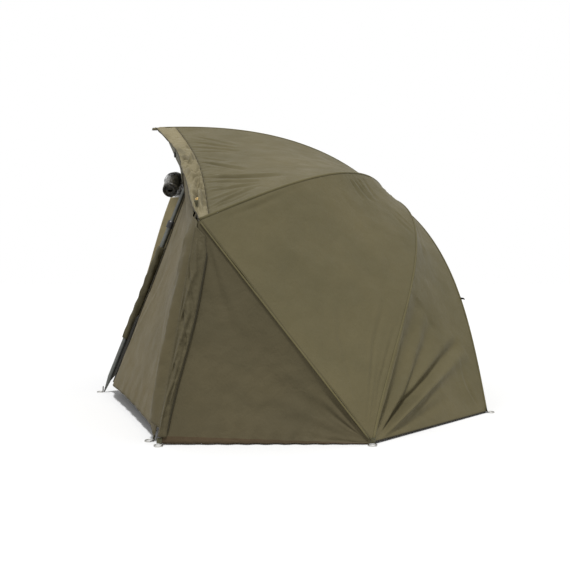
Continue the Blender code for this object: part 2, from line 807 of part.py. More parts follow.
def side_tip(side):
    arc = RIB_SIDE_LENGTH + HEM_OVERHANG
    return rib_world(side * RIB_SIDE_ANGLE, arc, GORE_LIFT, -side * SEAM_GAP)


def ground_corner(side):
    return Vector((side * CORNER_SIDE, HUB_BACK - CORNER_AHEAD, HEM_LIFT))


def panel_corner(side):
    return Vector((side * PANEL_CORNER_SIDE, HUB_BACK - PANEL_CORNER_AHEAD, HEM_LIFT))


def build_skirt(label, side):
    """The upright triangle under the side gore, from the corner down to the ground hem."""
    top = corner_tip(side)
    back = side_tip(side)
    back_ground = Vector((back.x, back.y, HEM_LIFT))
    front_ground = ground_corner(side)
    drop = Vector((0.0, 0.0, -SKIRT_DROP))
    outward = Vector((side, 0.0, 0.0))
    grid = []
    for row in range(SKIRT_ROWS + 1):
        down = row / SKIRT_ROWS
        line = []
        for column in range(SKIRT_COLUMNS + 1):
            along = SKIRT_END_SHARE * column / SKIRT_COLUMNS
            high = mix(top, back, along) + drop
            low = mix(front_ground, back_ground, along)
            sag = SKIRT_SAG * math.sin(math.pi * down) * math.sin(math.pi * along)
            line.append(mix(high, low, down) - outward * sag)
        grid.append(line)
    sheet("skirt_" + label, grid, ROOT, SKIRT_CLOTH, outward)


def pole_ends(side):
    """Ends of a pole's axis; the spike's tilted tip just touches the ground."""
    lean = math.atan2(POLE_FOOT_AHEAD - POLE_TOP_AHEAD, POLE_TOP_HEIGHT)
    foot = Vector((
        side * POLE_FOOT_SIDE, HUB_BACK - POLE_FOOT_AHEAD, POLE_SPIKE_TIP * math.sin(lean)))
    top = Vector((side * POLE_TOP_SIDE, HUB_BACK - POLE_TOP_AHEAD, POLE_TOP_HEIGHT))
    return foot, top


def pole_matrix(side, along):
    """A frame on a pole's axis, a length up from its foot, with +Z up the pole."""
    foot, top = pole_ends(side)
    axis = (top - foot).normalized()
    outward = Vector((side, 0.0, 0.0))
    front = axis.cross(outward).normalized()
    turn = Matrix((front.cross(axis), front, axis)).transposed().to_4x4()
    return Matrix.Translation(foot + axis * along) @ turn


def build_pole(label, side):
    foot, top = pole_ends(side)
    full = (top - foot).length
    base = frame("pole_foot_" + label, pole_matrix(side, 0.0))
    inner = POLE_RADIUS - POLE_WALL
    plug = POLE_SPIKE_LENGTH + POLE_RADIUS
    lower = turned("pole_lower_" + label, (
        (POLE_RADIUS, POLE_LOWER_LENGTH),
        (POLE_RADIUS, POLE_SPIKE_LENGTH),
        (POLE_SPIKE_TIP, 0.0),
        (0.0, 0.0),
        (0.0, plug),
        (inner, plug),
        (inner, POLE_LOWER_LENGTH),
    ), SMALL_SIDES)
    close_ring(lower)
    place(lower, base, ALLOY)

    slide = frame("pole_slide_" + label, pole_matrix(side, POLE_LOWER_LENGTH))
    rise = full - POLE_LOWER_LENGTH
    hollow = POLE_UPPER_RADIUS - POLE_UPPER_WALL
    upper = turned("pole_upper_" + label, (
        (0.0, rise),
        (POLE_UPPER_RADIUS, rise),
        (POLE_UPPER_RADIUS + POLE_UPPER_WALL, rise - POLE_FIT),
        (POLE_UPPER_RADIUS + POLE_UPPER_WALL, rise - POLE_CAP_LENGTH),
        (POLE_UPPER_RADIUS, rise - POLE_CAP_LENGTH),
        (POLE_UPPER_RADIUS, -POLE_UPPER_INSERT),
        (hollow, -POLE_UPPER_INSERT),
        (hollow, rise - POLE_CAP_LENGTH),
        (0.0, rise - POLE_CAP_LENGTH),
    ), SMALL_SIDES)
    place(upper, slide, ALLOY)

    turn = frame("pole_clamp_body_" + label, pole_matrix(side, POLE_LOWER_LENGTH))
    clamp_bore = POLE_UPPER_RADIUS + FIT
    clamp = to_mesh(turned("pole_clamp_" + label, (
        (POLE_RADIUS, CLAMP_LENGTH),
        (CLAMP_RADIUS, CLAMP_LENGTH * CLAMP_TAPER_SHARE),
        (CLAMP_RADIUS, FIT),
        (clamp_bore, FIT),
        (clamp_bore, CLAMP_LENGTH),
    ), SMALL_SIDES, ring=True))
    lever_reach = CLAMP_RADIUS + CLAMP_LEVER_OUT - POLE_RADIUS
    lever = block("clamp_lever_" + label, (
        lever_reach, CLAMP_LEVER_WIDTH, CLAMP_LEVER_HEIGHT), (
        -POLE_RADIUS - lever_reach / 2.0, 0.0, CLAMP_LENGTH / 2.0))
    combine(clamp, lever, turn, "UNION")
    place(clamp, turn, BLACK_PLASTIC)

    sleeve_top = POLE_LOWER_LENGTH - SLEEVE_BELOW_CLAMP
    sleeve_bottom = sleeve_top - SLEEVE_LENGTH
    sleeve = turned("pole_sleeve_" + label, (
        (SLEEVE_RADIUS, sleeve_top),
        (SLEEVE_RADIUS, sleeve_bottom),
        (POLE_RADIUS + FIT, sleeve_bottom),
        (POLE_RADIUS + FIT, sleeve_top),
    ), SMALL_SIDES, ring=True)
    place(sleeve, base, WEBBING)


def close_ring(item):
    """Close a turned outline that starts and ends off the axis."""
    data = item.data
    points = [vertex.co.copy() for vertex in data.vertices]
    edges = [tuple(edge.vertices) for edge in data.edges]
    edges.append((len(points) - 1, 0))
    data.clear_geometry()
    data.from_pydata([tuple(point) for point in points], edges, [])


def panel_top(side, across):
    """Where the front panel and the header meet the underside of the brim."""
    edge, seam = brim_line(side, across)
    point = mix(edge, seam, PANEL_TOP_BACK_SHARE)
    return point + Vector((0.0, 0.0, -PANEL_TOP_DROP))


def pole_share(side):
    """Share of the brim's run at which the pole stands."""
    edge, _ = brim_line(side, 0.0)
    corner, _ = brim_line(side, 1.0)
    return (POLE_TOP_SIDE + SLEEVE_RADIUS) / (side * corner.x - side * edge.x)


def panel_inner(side, up):
    """The panel's edge beside the pole, from the ground hem up to the brim."""
    foot, top = pole_ends(side)
    aside = Vector((side * (SLEEVE_RADIUS + SHEET_GAP), 0.0, 0.0))
    joint = mix(foot, top, PANEL_JOINT_SHARE) + aside
    if up < PANEL_BEND_SHARE:
        return mix(foot + aside + Vector((0.0, 0.0, HEM_LIFT)), joint, up / PANEL_BEND_SHARE)
    rest = (up - PANEL_BEND_SHARE) / (1.0 - PANEL_BEND_SHARE)
    return mix(joint, panel_top(side, pole_share(side)), rest)


def panel_outer(side, up):
    back = Vector((-side * PANEL_SEAM_BACK, -PANEL_SEAM_BACK, -PANEL_SEAM_BACK))
    return mix(panel_corner(side), corner_tip(side) + back, up)


def panel_point(side, up, across):
    """The panel's hem hangs clear of the ground, except at the pegged corner."""
    up += (1.0 - up) * PANEL_HEM_SHARE * min(1.0, PANEL_COLUMNS * (1.0 - across))
    share = pole_share(side)
    inner = panel_inner(side, up)
    outer = panel_outer(side, up)
    point = mix(inner, outer, across)
    if up >= 1.0:
        point = panel_top(side, share + (1.0 - share) * across * PANEL_TOP_END_SHARE)
    belly = PANEL_BELLY * math.sin(math.pi * across) * math.sin(math.pi * min(1.0, up))
    return point + Vector((0.0, belly, 0.0))


def build_panel(label, side):
    """The closed front beside the doorway, from the pole to the corner."""
    grid = []
    for row in range(PANEL_ROWS + 1):
        up = row / PANEL_ROWS
        grid.append([
            panel_point(side, up, column / PANEL_COLUMNS) for column in range(PANEL_COLUMNS + 1)
        ])
    sheet("front_panel_" + label, grid, ROOT, PANEL_CLOTH, Vector((0.0, -1.0, 0.0)))


def flap_point(side, up, across):
    """The zip cover at the corner, from the zip beside the skirt to the panel's last seam."""
    high = mix(ground_corner(side), corner_tip(side), up)
    clear = Vector((0.0, -SHEET_GAP - CLOTH, 0.0))
    outer = panel_point(side, up, 1.0)
    inner = panel_point(side, up, 1.0 - 1.0 / PANEL_COLUMNS)
    stand = Vector((side * FLAP_STAND, -FLAP_STAND, 0.0))
    ripple = FLAP_FOLD * math.sin(math.pi * across) * math.sin(math.pi * up)
    width = mix(high + clear, inner + stand, across)
    lean = (outer - high).length * math.sin(math.pi * across) * math.sin(math.pi * across)
    return width + Vector((side * ripple, -ripple - lean * FLAP_LEAN_SHARE, 0.0))


def build_flap(label, side):
    grid = []
    for row in range(FLAP_ROWS + 1):
        up = FLAP_START_SHARE + (FLAP_END_SHARE - FLAP_START_SHARE) * row / FLAP_ROWS
        grid.append([
            flap_point(side, up, column / FLAP_COLUMNS) for column in range(FLAP_COLUMNS + 1)
        ])
    sheet("corner_flap_" + label, grid, ROOT, PANEL_CLOTH, Vector((side, -1.0, 0.0)))


def build_header():
    """The cloth over the doorway, from the brim down to the tops of the poles."""
    grid = []
    share = pole_share(1.0)
    for row in range(HEADER_ROWS + 1):
        down = row / HEADER_ROWS
        line = []
        for column in range(HEADER_COLUMNS + 1):
            run = 2.0 * column / HEADER_COLUMNS - 1.0
            side = 1.0 if run >= 0.0 else -1.0
            high = panel_top(side, share * abs(run) * HEADER_WIDTH_SHARE)
            high.z += HEADER_RAISE
            if column == HEADER_COLUMNS // 2:
                high.x = 0.0
                high.z -= HEADER_NOTCH
            low = Vector((
                run * HEADER_WIDTH_SHARE * (POLE_TOP_SIDE + SLEEVE_RADIUS),
                HUB_BACK - HEADER_BOTTOM_AHEAD, HEADER_BOTTOM))
            line.append(mix(high, low, down))
        grid.append(line)
    sheet("door_header", grid, RIB_BODIES["front"], PANEL_CLOTH, Vector((0.0, -1.0, 0.0)))


def roll_distance():
    """How far ahead of the hub the roll lies: against the leaning header, at its middle."""
    top = panel_top(1.0, 0.0)
    lean = (HUB_BACK - top.y - HEADER_BOTTOM_AHEAD) / (top.z - HEADER_BOTTOM)
    rise = ROLL_HEIGHT + ROLL_RISE - HEADER_BOTTOM
    return HEADER_BOTTOM_AHEAD + lean * rise + (ROLL_RADIUS + ROLL_SEAT) * math.hypot(1.0, lean)


ROLL_AHEAD = roll_distance()


def roll_line(share):
    """Centre of the rolled door: it hangs from its middle, so it bows up there."""
    run = 2.0 * share - 1.0
    return Vector((
        run * ROLL_HALF_LENGTH, HUB_BACK - ROLL_AHEAD, ROLL_HEIGHT + ROLL_RISE * (1.0 - run * run)))


def roll_ring(share, radius, sides):
    centre = roll_line(share)
    ahead = roll_line(share + ROLL_STEP_SHARE) - roll_line(share - ROLL_STEP_SHARE)
    along = ahead.normalized()
    front = Vector((0.0, -1.0, 0.0))
    up = front.cross(along).normalized()
    ring = []
    for index in range(sides):
        turn = 2.0 * math.pi * index / sides
        ring.append(centre + (front * math.cos(turn) + up * math.sin(turn)) * radius)
    return ring


def build_roll():
    body = RIB_BODIES["front"]
    _, matrix = body
    inverse = matrix.inverted()
    points = []
    for station in range(ROLL_STATIONS + 1):
        share = station / ROLL_STATIONS
        for index, point in enumerate(roll_ring(share, ROLL_RADIUS, ROLL_SIDES)):
            turn = 2.0 * math.pi * index / ROLL_SIDES
            groove = ROLL_GROOVE * (0.5 + 0.5 * math.cos(ROLL_TURNS * (turn + math.pi * share)))
            points.append(mix(point, roll_line(share), groove / ROLL_RADIUS))
    faces = []
    for station in range(ROLL_STATIONS):
        for index in range(ROLL_SIDES):
            first = station * ROLL_SIDES + index
            second = station * ROLL_SIDES + (index + 1) % ROLL_SIDES
            faces.append((first, second, second + ROLL_SIDES, first + ROLL_SIDES))
    last = ROLL_STATIONS * ROLL_SIDES
    faces.append(tuple(range(ROLL_SIDES - 1, -1, -1)))
    faces.append(tuple(range(last, last + ROLL_SIDES)))
    roll = mesh_object("door_roll", [inverse @ point for point in points], faces)
    roll.data.flip_normals()
    place(roll, body, ROLL_CLOTH)
    smooth(roll)
    for label, side in SIDES:
        share = 0.5 + side * STRAP_SIDE / (2.0 * ROLL_HALF_LENGTH)
        half = STRAP_WIDTH / (4.0 * ROLL_HALF_LENGTH)
        inner = ROLL_RADIUS + STRAP_GAP
        outer = inner + STRAP_THICKNESS
        rings = [
            roll_ring(share - half, outer, ROLL_SIDES), roll_ring(share + half, outer, ROLL_SIDES),
            roll_ring(share + half, inner, ROLL_SIDES), roll_ring(share - half, inner, ROLL_SIDES),
        ]
        band_points = [inverse @ point for ring in rings for point in ring]
        band_faces = []
        for layer in range(4):
            for index in range(ROLL_SIDES):
                following = (index + 1) % ROLL_SIDES
                this = layer * ROLL_SIDES
                then = ((layer + 1) % 4) * ROLL_SIDES
                band_faces.append((this + index, then + index, then + following, this + following))
        band = mesh_object("roll_strap_" + label, band_points, band_faces)
        place(band, body, WEBBING)
        smooth(band)


def build_ring(name, centre, body):
    bpy.ops.mesh.primitive_torus_add(
        major_radius=RING_RADIUS, minor_radius=RING_WIRE,
        major_segments=RING_SEGMENTS, minor_segments=RING_SIDES)
    ring = bpy.context.active_object
    unlink(ring)
    ring.name = name
    _, matrix = body
    ring.data.transform(matrix.inverted() @ Matrix.Translation(centre))
    place(ring, body, STEEL)
    smooth(ring, math.radians(60.0))


def build_rings():
    for label, side in SIDES:
        outward = Vector((side, 0.0, 0.0))
        forward = Vector((0.0, -1.0, 0.0))
        lift = Vector((0.0, 0.0, RING_LIFT))
        corner = ground_corner(side)
        corner.z = 0.0
        build_ring("ring_corner_" + label, corner + outward * RING_REACH_CORNER + lift, ROOT)
        edge = panel_corner(side)
        edge.z = 0.0
        build_ring("ring_panel_" + label, edge + forward * RING_REACH_PANEL + lift, ROOT)
        foot_side = rib_world(side * RIB_SIDE_ANGLE, RIB_SIDE_LENGTH)
        foot_side.z = 0.0
        reach = HEM_REACH_SIDE + RING_RADIUS + RING_WIRE
        build_ring("ring_side_" + label, foot_side + outward * reach + lift,
                   RIB_BODIES["side_" + label])
        foot_rear = rib_world(side * RIB_REAR_ANGLE, RIB_REAR_LENGTH)
        foot_rear.z = 0.0
        back = Vector((0.0, 1.0, 0.0))
        reach = HEM_REACH_REAR + RING_RADIUS + RING_WIRE
        build_ring("ring_rear_" + label, foot_rear + back * reach + lift,
                   RIB_BODIES["rear_" + label])
        pole = Vector((side * POLE_FOOT_SIDE, HUB_BACK - POLE_FOOT_AHEAD, 0.0))
        build_ring("ring_pole_" + label, pole + forward * RING_REACH_POLE + lift, ROOT)


def build():
    build_hub()
    build_runner()
    for name, angle in RIB_SET:
        build_rib(name, angle)
        build_stretcher(name, angle)
    build_front_cap()
    build_canopy()
    build_header()
    build_roll()
    for label, side in SIDES:
        build_skirt(label, side)
        build_panel(label, side)
        build_flap(label, side)
        build_pole(label, side)
    build_rings()


build()
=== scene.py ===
"""Looks of the fishing umbrella shelter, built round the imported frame."""
import math

import bpy
import numpy as np
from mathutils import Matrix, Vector, noise


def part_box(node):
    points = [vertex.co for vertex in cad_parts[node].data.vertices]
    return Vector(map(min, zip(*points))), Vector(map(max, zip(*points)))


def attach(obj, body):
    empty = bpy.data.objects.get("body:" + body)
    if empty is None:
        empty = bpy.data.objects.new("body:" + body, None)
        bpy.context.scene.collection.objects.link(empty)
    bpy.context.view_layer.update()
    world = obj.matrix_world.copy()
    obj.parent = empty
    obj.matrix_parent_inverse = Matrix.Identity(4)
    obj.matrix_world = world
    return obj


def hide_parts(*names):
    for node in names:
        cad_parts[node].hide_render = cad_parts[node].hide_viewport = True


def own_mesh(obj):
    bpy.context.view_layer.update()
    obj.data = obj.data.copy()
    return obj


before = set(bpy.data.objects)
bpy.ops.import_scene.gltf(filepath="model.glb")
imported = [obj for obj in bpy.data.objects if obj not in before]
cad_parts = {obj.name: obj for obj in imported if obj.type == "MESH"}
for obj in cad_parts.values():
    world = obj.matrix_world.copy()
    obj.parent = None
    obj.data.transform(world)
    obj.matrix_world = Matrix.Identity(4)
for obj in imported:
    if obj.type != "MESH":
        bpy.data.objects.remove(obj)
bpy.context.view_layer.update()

# The frame's geometry, in metres, as the part has it
HUB = np.array([0.0, 0.56984, 1.023])
TILT = math.radians(42.0)
SIDEWAYS = np.array([1.0, 0.0, 0.0])
AHEAD = np.array([0.0, -math.cos(TILT), math.sin(TILT)])
AXIS = np.array([0.0, math.sin(TILT), math.cos(TILT)])
FRONT, CORNER, FLANK, REAR = (math.radians(a) for a in (0.0, 68.5, 110.14, 139.05))
LENGTH = {"front": 1.358, "corner": 1.609, "side": 1.7916762, "rear": 1.3697104}
EXTRA_BEND = {"front": (0.0, 0.0), "corner": (0.0, 0.0), "side": (0.3257, 0.3352), "rear": (-0.0517, 0.103)}
RIB_CURVE_LENGTH = 1.2
COMMON_LENGTH = 0.36  # beyond it, the kinds of rib bend differently
OVERHANG = 0.005  # of the canopy past the side and rear ribs
CAP_OVERLAP = 0.03
LIFT = 0.007  # of the cloth above the ribs' centre lines
START = 0.024  # where the cloth begins, from the hub's centre
BRIM_FRONT, BRIM_CORNER, BRIM_CURVE = 0.112, 0.05, 0.04
SHEET_GAP = 0.0006
PANEL_COLUMNS, PANEL_HEM_SHARE = 12, 0.042
PANEL_BACK_SHARE, PANEL_DROP = 0.4, 0.0013
CORNER_GROUND = (1.385, HUB[1] - 0.995, 0.004)
PANEL_GROUND = (1.33, HUB[1] - 1.023, 0.004)
POLE_FOOT = np.array([0.275, HUB[1] - 1.475, 0.001])
POLE_TOP = np.array([0.315, HUB[1] - 1.037, 1.078])
SLEEVE_R = 0.02
INSIDE = np.array([0.0, 0.0, 0.51])  # outer faces look away from here
SIDES = (("r", 1.0), ("l", -1.0))
THIN, CLOTH, DOUBLED = 0.001, 0.0012, 0.0016  # thickness of tape, cloth and doubled cloth

ARC_STEP = 0.001
ARCS = np.arange(2101) * ARC_STEP


def lerp(a, b, t):
    return np.asarray(a) * (1 - t) + np.asarray(b) * t


def smoothstep(a, b, x):
    t = np.clip((x - a) / (b - a), 0.0, 1.0)
    return t * t * (3.0 - 2.0 * t)


def arch(x):
    """A hump over the shares from 0 to 1."""
    return np.sin(np.pi * x)


def unit(v):
    v = np.asarray(v, float)
    return v / np.linalg.norm(v, axis=-1, keepdims=True)


def flip(point, side):
    return np.array([point[0] * side, point[1], point[2]])


def curve(bend, ease):
    """Slope, reach and drop at each arc of one kind of rib."""
    share = ARCS / RIB_CURVE_LENGTH
    outer = np.maximum(0.0, ARCS - COMMON_LENGTH) / RIB_CURVE_LENGTH
    slope = -0.09 + 1.29 * share - 0.467 * share ** 2 + bend * outer - ease * outer ** 2
    middle = (slope[1:] + slope[:-1]) / 2
    return slope, *(np.concatenate([[0.0], np.cumsum(f(middle) * ARC_STEP)]) for f in (np.cos, np.sin))


CURVES = {kind: curve(*values) for kind, values in EXTRA_BEND.items()}


def kind_of(angle):
    turned = abs((angle + math.pi) % (2 * math.pi) - math.pi)
    return list(LENGTH)[int(np.argmin([abs(turned - a) for a in (FRONT, CORNER, FLANK, REAR)]))]


def spoke(angle):
    """The way a rib runs, seen along the hub's axis."""
    return math.cos(angle) * AHEAD + math.sin(angle) * SIDEWAYS


def tangent(angle):
    """The way round the hub, across a rib."""
    return math.cos(angle) * SIDEWAYS - math.sin(angle) * AHEAD


def rib(angle, arc, lift=LIFT):
    """A point on a rib's line, raised along its normal."""
    arc = np.asarray(arc, float)
    slopes, reaches, drops = CURVES[kind_of(angle)]
    slope = np.interp(arc, ARCS, slopes)
    reach = np.interp(arc, ARCS, reaches) + lift * np.sin(slope)
    height = -np.interp(arc, ARCS, drops) + lift * np.cos(slope)
    return HUB + reach[..., None] * spoke(angle) + height[..., None] * AXIS


# Materials


class Nodes:
    """Adds and links the nodes of one material or world."""

    def __init__(self, owner):
        owner.use_nodes = True
        self.owner, self.tree = owner, owner.node_tree

    def feed(self, slot, value):
        """Give an input a number, a colour or another node's output."""
        if isinstance(value, (int, float)):
            slot.default_value = value
        elif isinstance(value, tuple):
            slot.default_value = (*value, 1.0)
        else:
            self.tree.links.new(value, slot)

    def add(self, kind, **values):
        node = self.tree.nodes.new(kind)
        for key, value in values.items():
            if key in node.inputs:
                self.feed(node.inputs[key], value)
            else:
                setattr(node, key, value)
        return node

    def math(self, operation, first, second=None, clamp=False):
        node = self.add("ShaderNodeMath", operation=operation, use_clamp=clamp)
        self.feed(node.inputs[0], first)
        if second is not None:
            self.feed(node.inputs[1], second)
        return node.outputs[0]

    def times(self, first, second, clamp=False):
        return self.math("MULTIPLY", first, second, clamp)

    def plus(self, first, second):
        return self.math("ADD", first, second)

    def wave(self, value, period):
        return self.math("SINE", self.times(value, 2.0 * math.pi / period))

    def noise(self, vector, scale, detail=3.0, rough=0.55, distortion=0.0):
        return self.add("ShaderNodeTexNoise", Vector=vector, Scale=scale, Detail=detail,
                        Roughness=rough, Distortion=distortion).outputs["Fac"]

    def ramp(self, fac, *stops):
        """A colour for each place of a number; a stop's value can be one grey."""
        node = self.add("ShaderNodeValToRGB", Fac=fac)
        line = node.color_ramp
        while len(line.elements) < len(stops):
            line.elements.new(0.5)
        for element, (place, colour) in zip(line.elements, stops):
            element.position = place
            element.color = (*(colour if isinstance(colour, tuple) else (colour,) * 3), 1.0)
        return node.outputs["Color"]

    def mix(self, fac, first, second):
        node = self.add("ShaderNodeMix", data_type="RGBA")
        for index, value in ((0, fac), (6, first), (7, second)):
            self.feed(node.inputs[index], value)
        return node.outputs[2]

    def bump(self, height, strength, distance, **normal):
        return self.add("ShaderNodeBump", Height=height, Strength=strength, Distance=distance,
                        **normal).outputs["Normal"]

    def coords(self):
        return self.add("ShaderNodeTexCoord").outputs["Object"]

    def split(self, vector):
        return self.add("ShaderNodeSeparateXYZ", Vector=vector).outputs

    def uv(self, name):
        return self.split(self.add("ShaderNodeUVMap", uv_map=name).outputs["UV"])

    def backdrop_rays(self):
        """1 for the rays that show the backdrop: from the camera, mirrored or let through."""
        rays = self.add("ShaderNodeLightPath").outputs
        seen = self.math("MAXIMUM", rays["Is Camera Ray"], rays["Is Glossy Ray"])
        return self.math("MAXIMUM", seen, rays["Is Transmission Ray"])

    def shade(self, base, rough, **others):
        """Feed the surface shader, whose other inputs are named with _ for each space."""
        inputs = self.tree.nodes["Principled BSDF"].inputs
        for key, value in {"Base Color": base, "Roughness": rough, **others}.items():
            self.feed(inputs[key.replace("_", " ")], value)
        return self.owner


def material(name):
    return Nodes(bpy.data.materials.new(name))


def tone(colour, factor, warm=0.0):
    red, green, blue = colour
    return (red * factor * (1 + warm), green * factor, blue * factor * (1 - warm))


THREAD, RIPSTOP_CELL, RIPSTOP_LINE = 0.0011, 0.0035, 0.00035
MUD = (0.13, 0.095, 0.055)


def cloth(name, colour, crumple=1.0, seam=True, ripstop=True, dirt=0.0):
    """Coated woven cloth: fine weave, rip-stop grid, stitched edges and soft crumples."""
    n, worn, rough = material(name), 0.12, 0.66
    place = n.coords()
    u, v, _ = n.uv("flat")
    middle = n.noise(place, 11.0, 5.0, 0.62)
    base = n.ramp(n.noise(place, 2.3, 4.0, 0.6),
                  (0.3, tone(colour, 1 - worn, -0.02)), (0.7, tone(colour, 1 + worn, 0.02)))
    base = n.mix(n.times(middle, 0.35), base, tone(colour, 1 - 1.6 * worn, 0.04))
    height = n.times(n.times(n.wave(u, THREAD), n.wave(v, THREAD)), 0.25)
    if ripstop:
        cells = (n.math("PINGPONG", value, RIPSTOP_CELL) for value in (u, v))
        line = n.math("LESS_THAN", n.math("MINIMUM", *cells), RIPSTOP_LINE)
        base = n.mix(n.times(line, 0.1), base, tone(colour, 1.25))
        height = n.plus(height, n.times(line, 0.5))
    base = n.mix(n.times(n.noise(place, 160.0, 2.0), 0.16), base, tone(colour, 0.72))
    if seam:
        # two rows of stitches near each edge, and a slight painted shade at the edge itself
        edge, along, _ = n.uv("seam")
        from_row = n.math("SUBTRACT", n.math("PINGPONG", n.plus(edge, 0.003), 0.005), 0.0012)
        row = n.math("LESS_THAN", n.math("ABSOLUTE", from_row), 0.0006)
        dash = n.math("LESS_THAN", n.math("FRACT", n.times(along, 290.0)), 0.72)
        stitch = n.times(n.times(row, dash), n.math("LESS_THAN", edge, 0.012))
        base = n.mix(n.times(stitch, 0.55), base, tone(colour, 0.45))
        shade = n.math("SUBTRACT", 1.0, n.times(edge, 110.0), clamp=True)
        base = n.mix(n.times(shade, 0.22, clamp=True), base, tone(colour, 0.68))
        height = n.math("SUBTRACT", height, n.times(stitch, 1.2))
    if dirt:
        low = n.math("SUBTRACT", 1.0, n.times(n.split(place)[2], 6.0), clamp=True)
        splash = n.times(low, n.noise(place, 24.0, 6.0, 0.7))
        base = n.mix(n.times(splash, dirt), base, MUD)
    folds = n.plus(n.noise(place, 7.0, 5.0, 0.55, 0.6), n.times(n.noise(place, 26.0, 4.0, 0.6, 1.2), 0.28))
    normal = n.bump(folds, 0.55 * crumple, 0.01)
    return n.shade(base, n.ramp(middle, (0.25, rough - 0.1), (0.75, rough + 0.1)),
                   Normal=n.bump(height, 0.35, 0.0004, Normal=normal),
                   Sheen_Weight=0.04, Sheen_Roughness=0.5, Specular_IOR_Level=0.14)


def webbing(name, colour):
    """Ribbed woven tape."""
    n = material(name)
    u, v, _ = n.uv("flat")
    ribs = n.wave(n.plus(u, n.times(v, 0.5)), 0.0022)
    base = n.ramp(n.noise(n.coords(), 240.0, 3.0), (0.25, tone(colour, 0.7)), (0.75, tone(colour, 1.3)))
    base = n.mix(n.times(n.math("ABSOLUTE", ribs), 0.3), base, tone(colour, 0.6))
    height = n.plus(ribs, n.times(n.wave(v, 0.0014), 0.5))
    return n.shade(base, 0.85, Sheen_Weight=0.2, Normal=n.bump(height, 0.5, 0.0005))


def plastic(name, colour):
    """Moulded plastic with a fine spark-eroded grain and rubbed high spots."""
    rough = 0.42
    n = material(name)
    place = n.coords()
    rub = n.noise(place, 38.0, 4.0, 0.7)
    return n.shade(n.ramp(rub, (0.35, tone(colour, 0.8)), (0.75, tone(colour, 1.5))),
                   n.ramp(rub, (0.3, rough - 0.08), (0.8, rough + 0.12)),
                   Normal=n.bump(n.noise(place, 260.0, 3.0), 0.25, 0.0004))


def metal(name, colour, rough, metallic=1.0):
    """Drawn metal with faint lengthwise streaks, scuffs and dulled patches."""
    n = material(name)
    place = n.coords()
    stretch = n.add("ShaderNodeMapping", Vector=place)
    stretch.inputs["Scale"].default_value = (40.0, 40.0, 900.0)
    lines = n.noise(stretch.outputs[0], 1.0, 3.0, 0.6)
    scuff = n.noise(place, 55.0, 5.0, 0.72)
    base = n.ramp(scuff, (0.3, tone(colour, 0.75)), (0.72, tone(colour, 1.25)))
    return n.shade(n.mix(n.times(lines, 0.25), base, tone(colour, 0.7)),
                   n.ramp(scuff, (0.25, rough - 0.08), (0.8, rough + 0.18)),
                   Metallic=metallic, Normal=n.bump(lines, 0.12, 0.0003))


def roll_material():
    """The rolled door: dark mesh with a clear glossy layer; the mottled light on it is partly painted into its colour
    as pale highlight patches.
    """
    n = material("rolled_door")
    place = n.coords()
    u, v, _ = n.uv("flat")
    blotch_and_painted_glint = n.noise(place, 42.0, 5.0, 0.65, 1.6)
    # the pale stop paints highlights on the glossy patches; the dark stops are the mesh's own colour
    base = n.ramp(blotch_and_painted_glint, (0.36, (0.016, 0.014, 0.01)), (0.52, (0.06, 0.052, 0.034)),
                  (0.64, (0.3, 0.27, 0.2)), (0.74, (0.11, 0.098, 0.066)))
    base = n.mix(n.times(n.noise(place, 210.0, 3.0), 0.3), base, (0.02, 0.018, 0.012))
    mesh = n.times(n.times(n.wave(u, 0.0016), n.wave(v, 0.0016)), 0.2)
    return n.shade(base, n.ramp(blotch_and_painted_glint, (0.3, 0.42), (0.7, 0.16)), Coat_Weight=0.6, Coat_Roughness=0.18,
                   Normal=n.bump(n.plus(n.times(blotch_and_painted_glint, 4.0), mesh), 0.6, 0.003))


def mesh_strip_material():
    """Dark insect mesh."""
    n = material("dark_mesh")
    u, v, _ = n.uv("flat")
    hole = n.times(*(n.math("ABSOLUTE", n.wave(value, 0.0028)) for value in (u, v)))
    return n.shade(n.ramp(hole, (0.25, (0.026, 0.024, 0.018)), (0.7, (0.008, 0.008, 0.007))), 0.85,
                   Specular_IOR_Level=0.12, Normal=n.bump(hole, 0.6, 0.0006))


CANOPY = cloth("canopy_cloth", (0.132, 0.114, 0.058), dirt=0.1)
# the skirt is the canopy's olive cloth in a darker tone: that darkening is painted shade on the upright skirt
SKIRT = cloth("skirt_cloth", (0.108, 0.092, 0.051), crumple=1.3, dirt=0.2)
PANEL = cloth("panel_cloth", (0.123, 0.099, 0.043), crumple=1.2, dirt=0.18)
COVER = cloth("cover_cloth", (0.112, 0.096, 0.054), crumple=1.6, dirt=0.18)
CORNER_WALL = cloth("corner_wall_cloth", (0.121, 0.102, 0.055), crumple=1.3, dirt=0.18)
HEADER = cloth("header_cloth", (0.122, 0.116, 0.076), crumple=0.9)
BRIM = cloth("brim_cloth", (0.262, 0.226, 0.133), crumple=2.4)
MUDFLAP = cloth("mudflap_cloth", (0.088, 0.062, 0.034), crumple=1.5, ripstop=False, dirt=0.35)
TAPE = cloth("seam_tape", (0.136, 0.118, 0.056), crumple=0.5, seam=False, ripstop=False)
PIPING = cloth("edge_binding", (0.05, 0.043, 0.026), crumple=0.5, seam=False, ripstop=False)
LINING = cloth("door_flap_cloth", (0.34, 0.29, 0.165))
SLEEVE = cloth("sleeve_cloth", (0.098, 0.086, 0.048), crumple=1.6, ripstop=False)
WEB = webbing("olive_webbing", (0.085, 0.078, 0.036))
WEB_DARK = webbing("dark_webbing", (0.03, 0.028, 0.02))
WEB_PALE = webbing("pale_webbing", (0.36, 0.35, 0.3))
HUB_CLOTH = cloth("hub_cover_cloth", (0.064, 0.056, 0.03), ripstop=False)
BLACK = plastic("black_plastic", (0.02, 0.02, 0.021))
GREY = metal("grey_alloy", (0.135, 0.14, 0.128), 0.42, 0.55)
STEEL = metal("plated_steel", (0.56, 0.55, 0.52), 0.26)
BRASS = metal("brass_eyelet", (0.62, 0.43, 0.17), 0.3)
RIBS = metal("rib_enamel", (0.05, 0.05, 0.046), 0.38, 0.35)
ROLL = roll_material()
MESH = mesh_strip_material()


# Mesh helpers


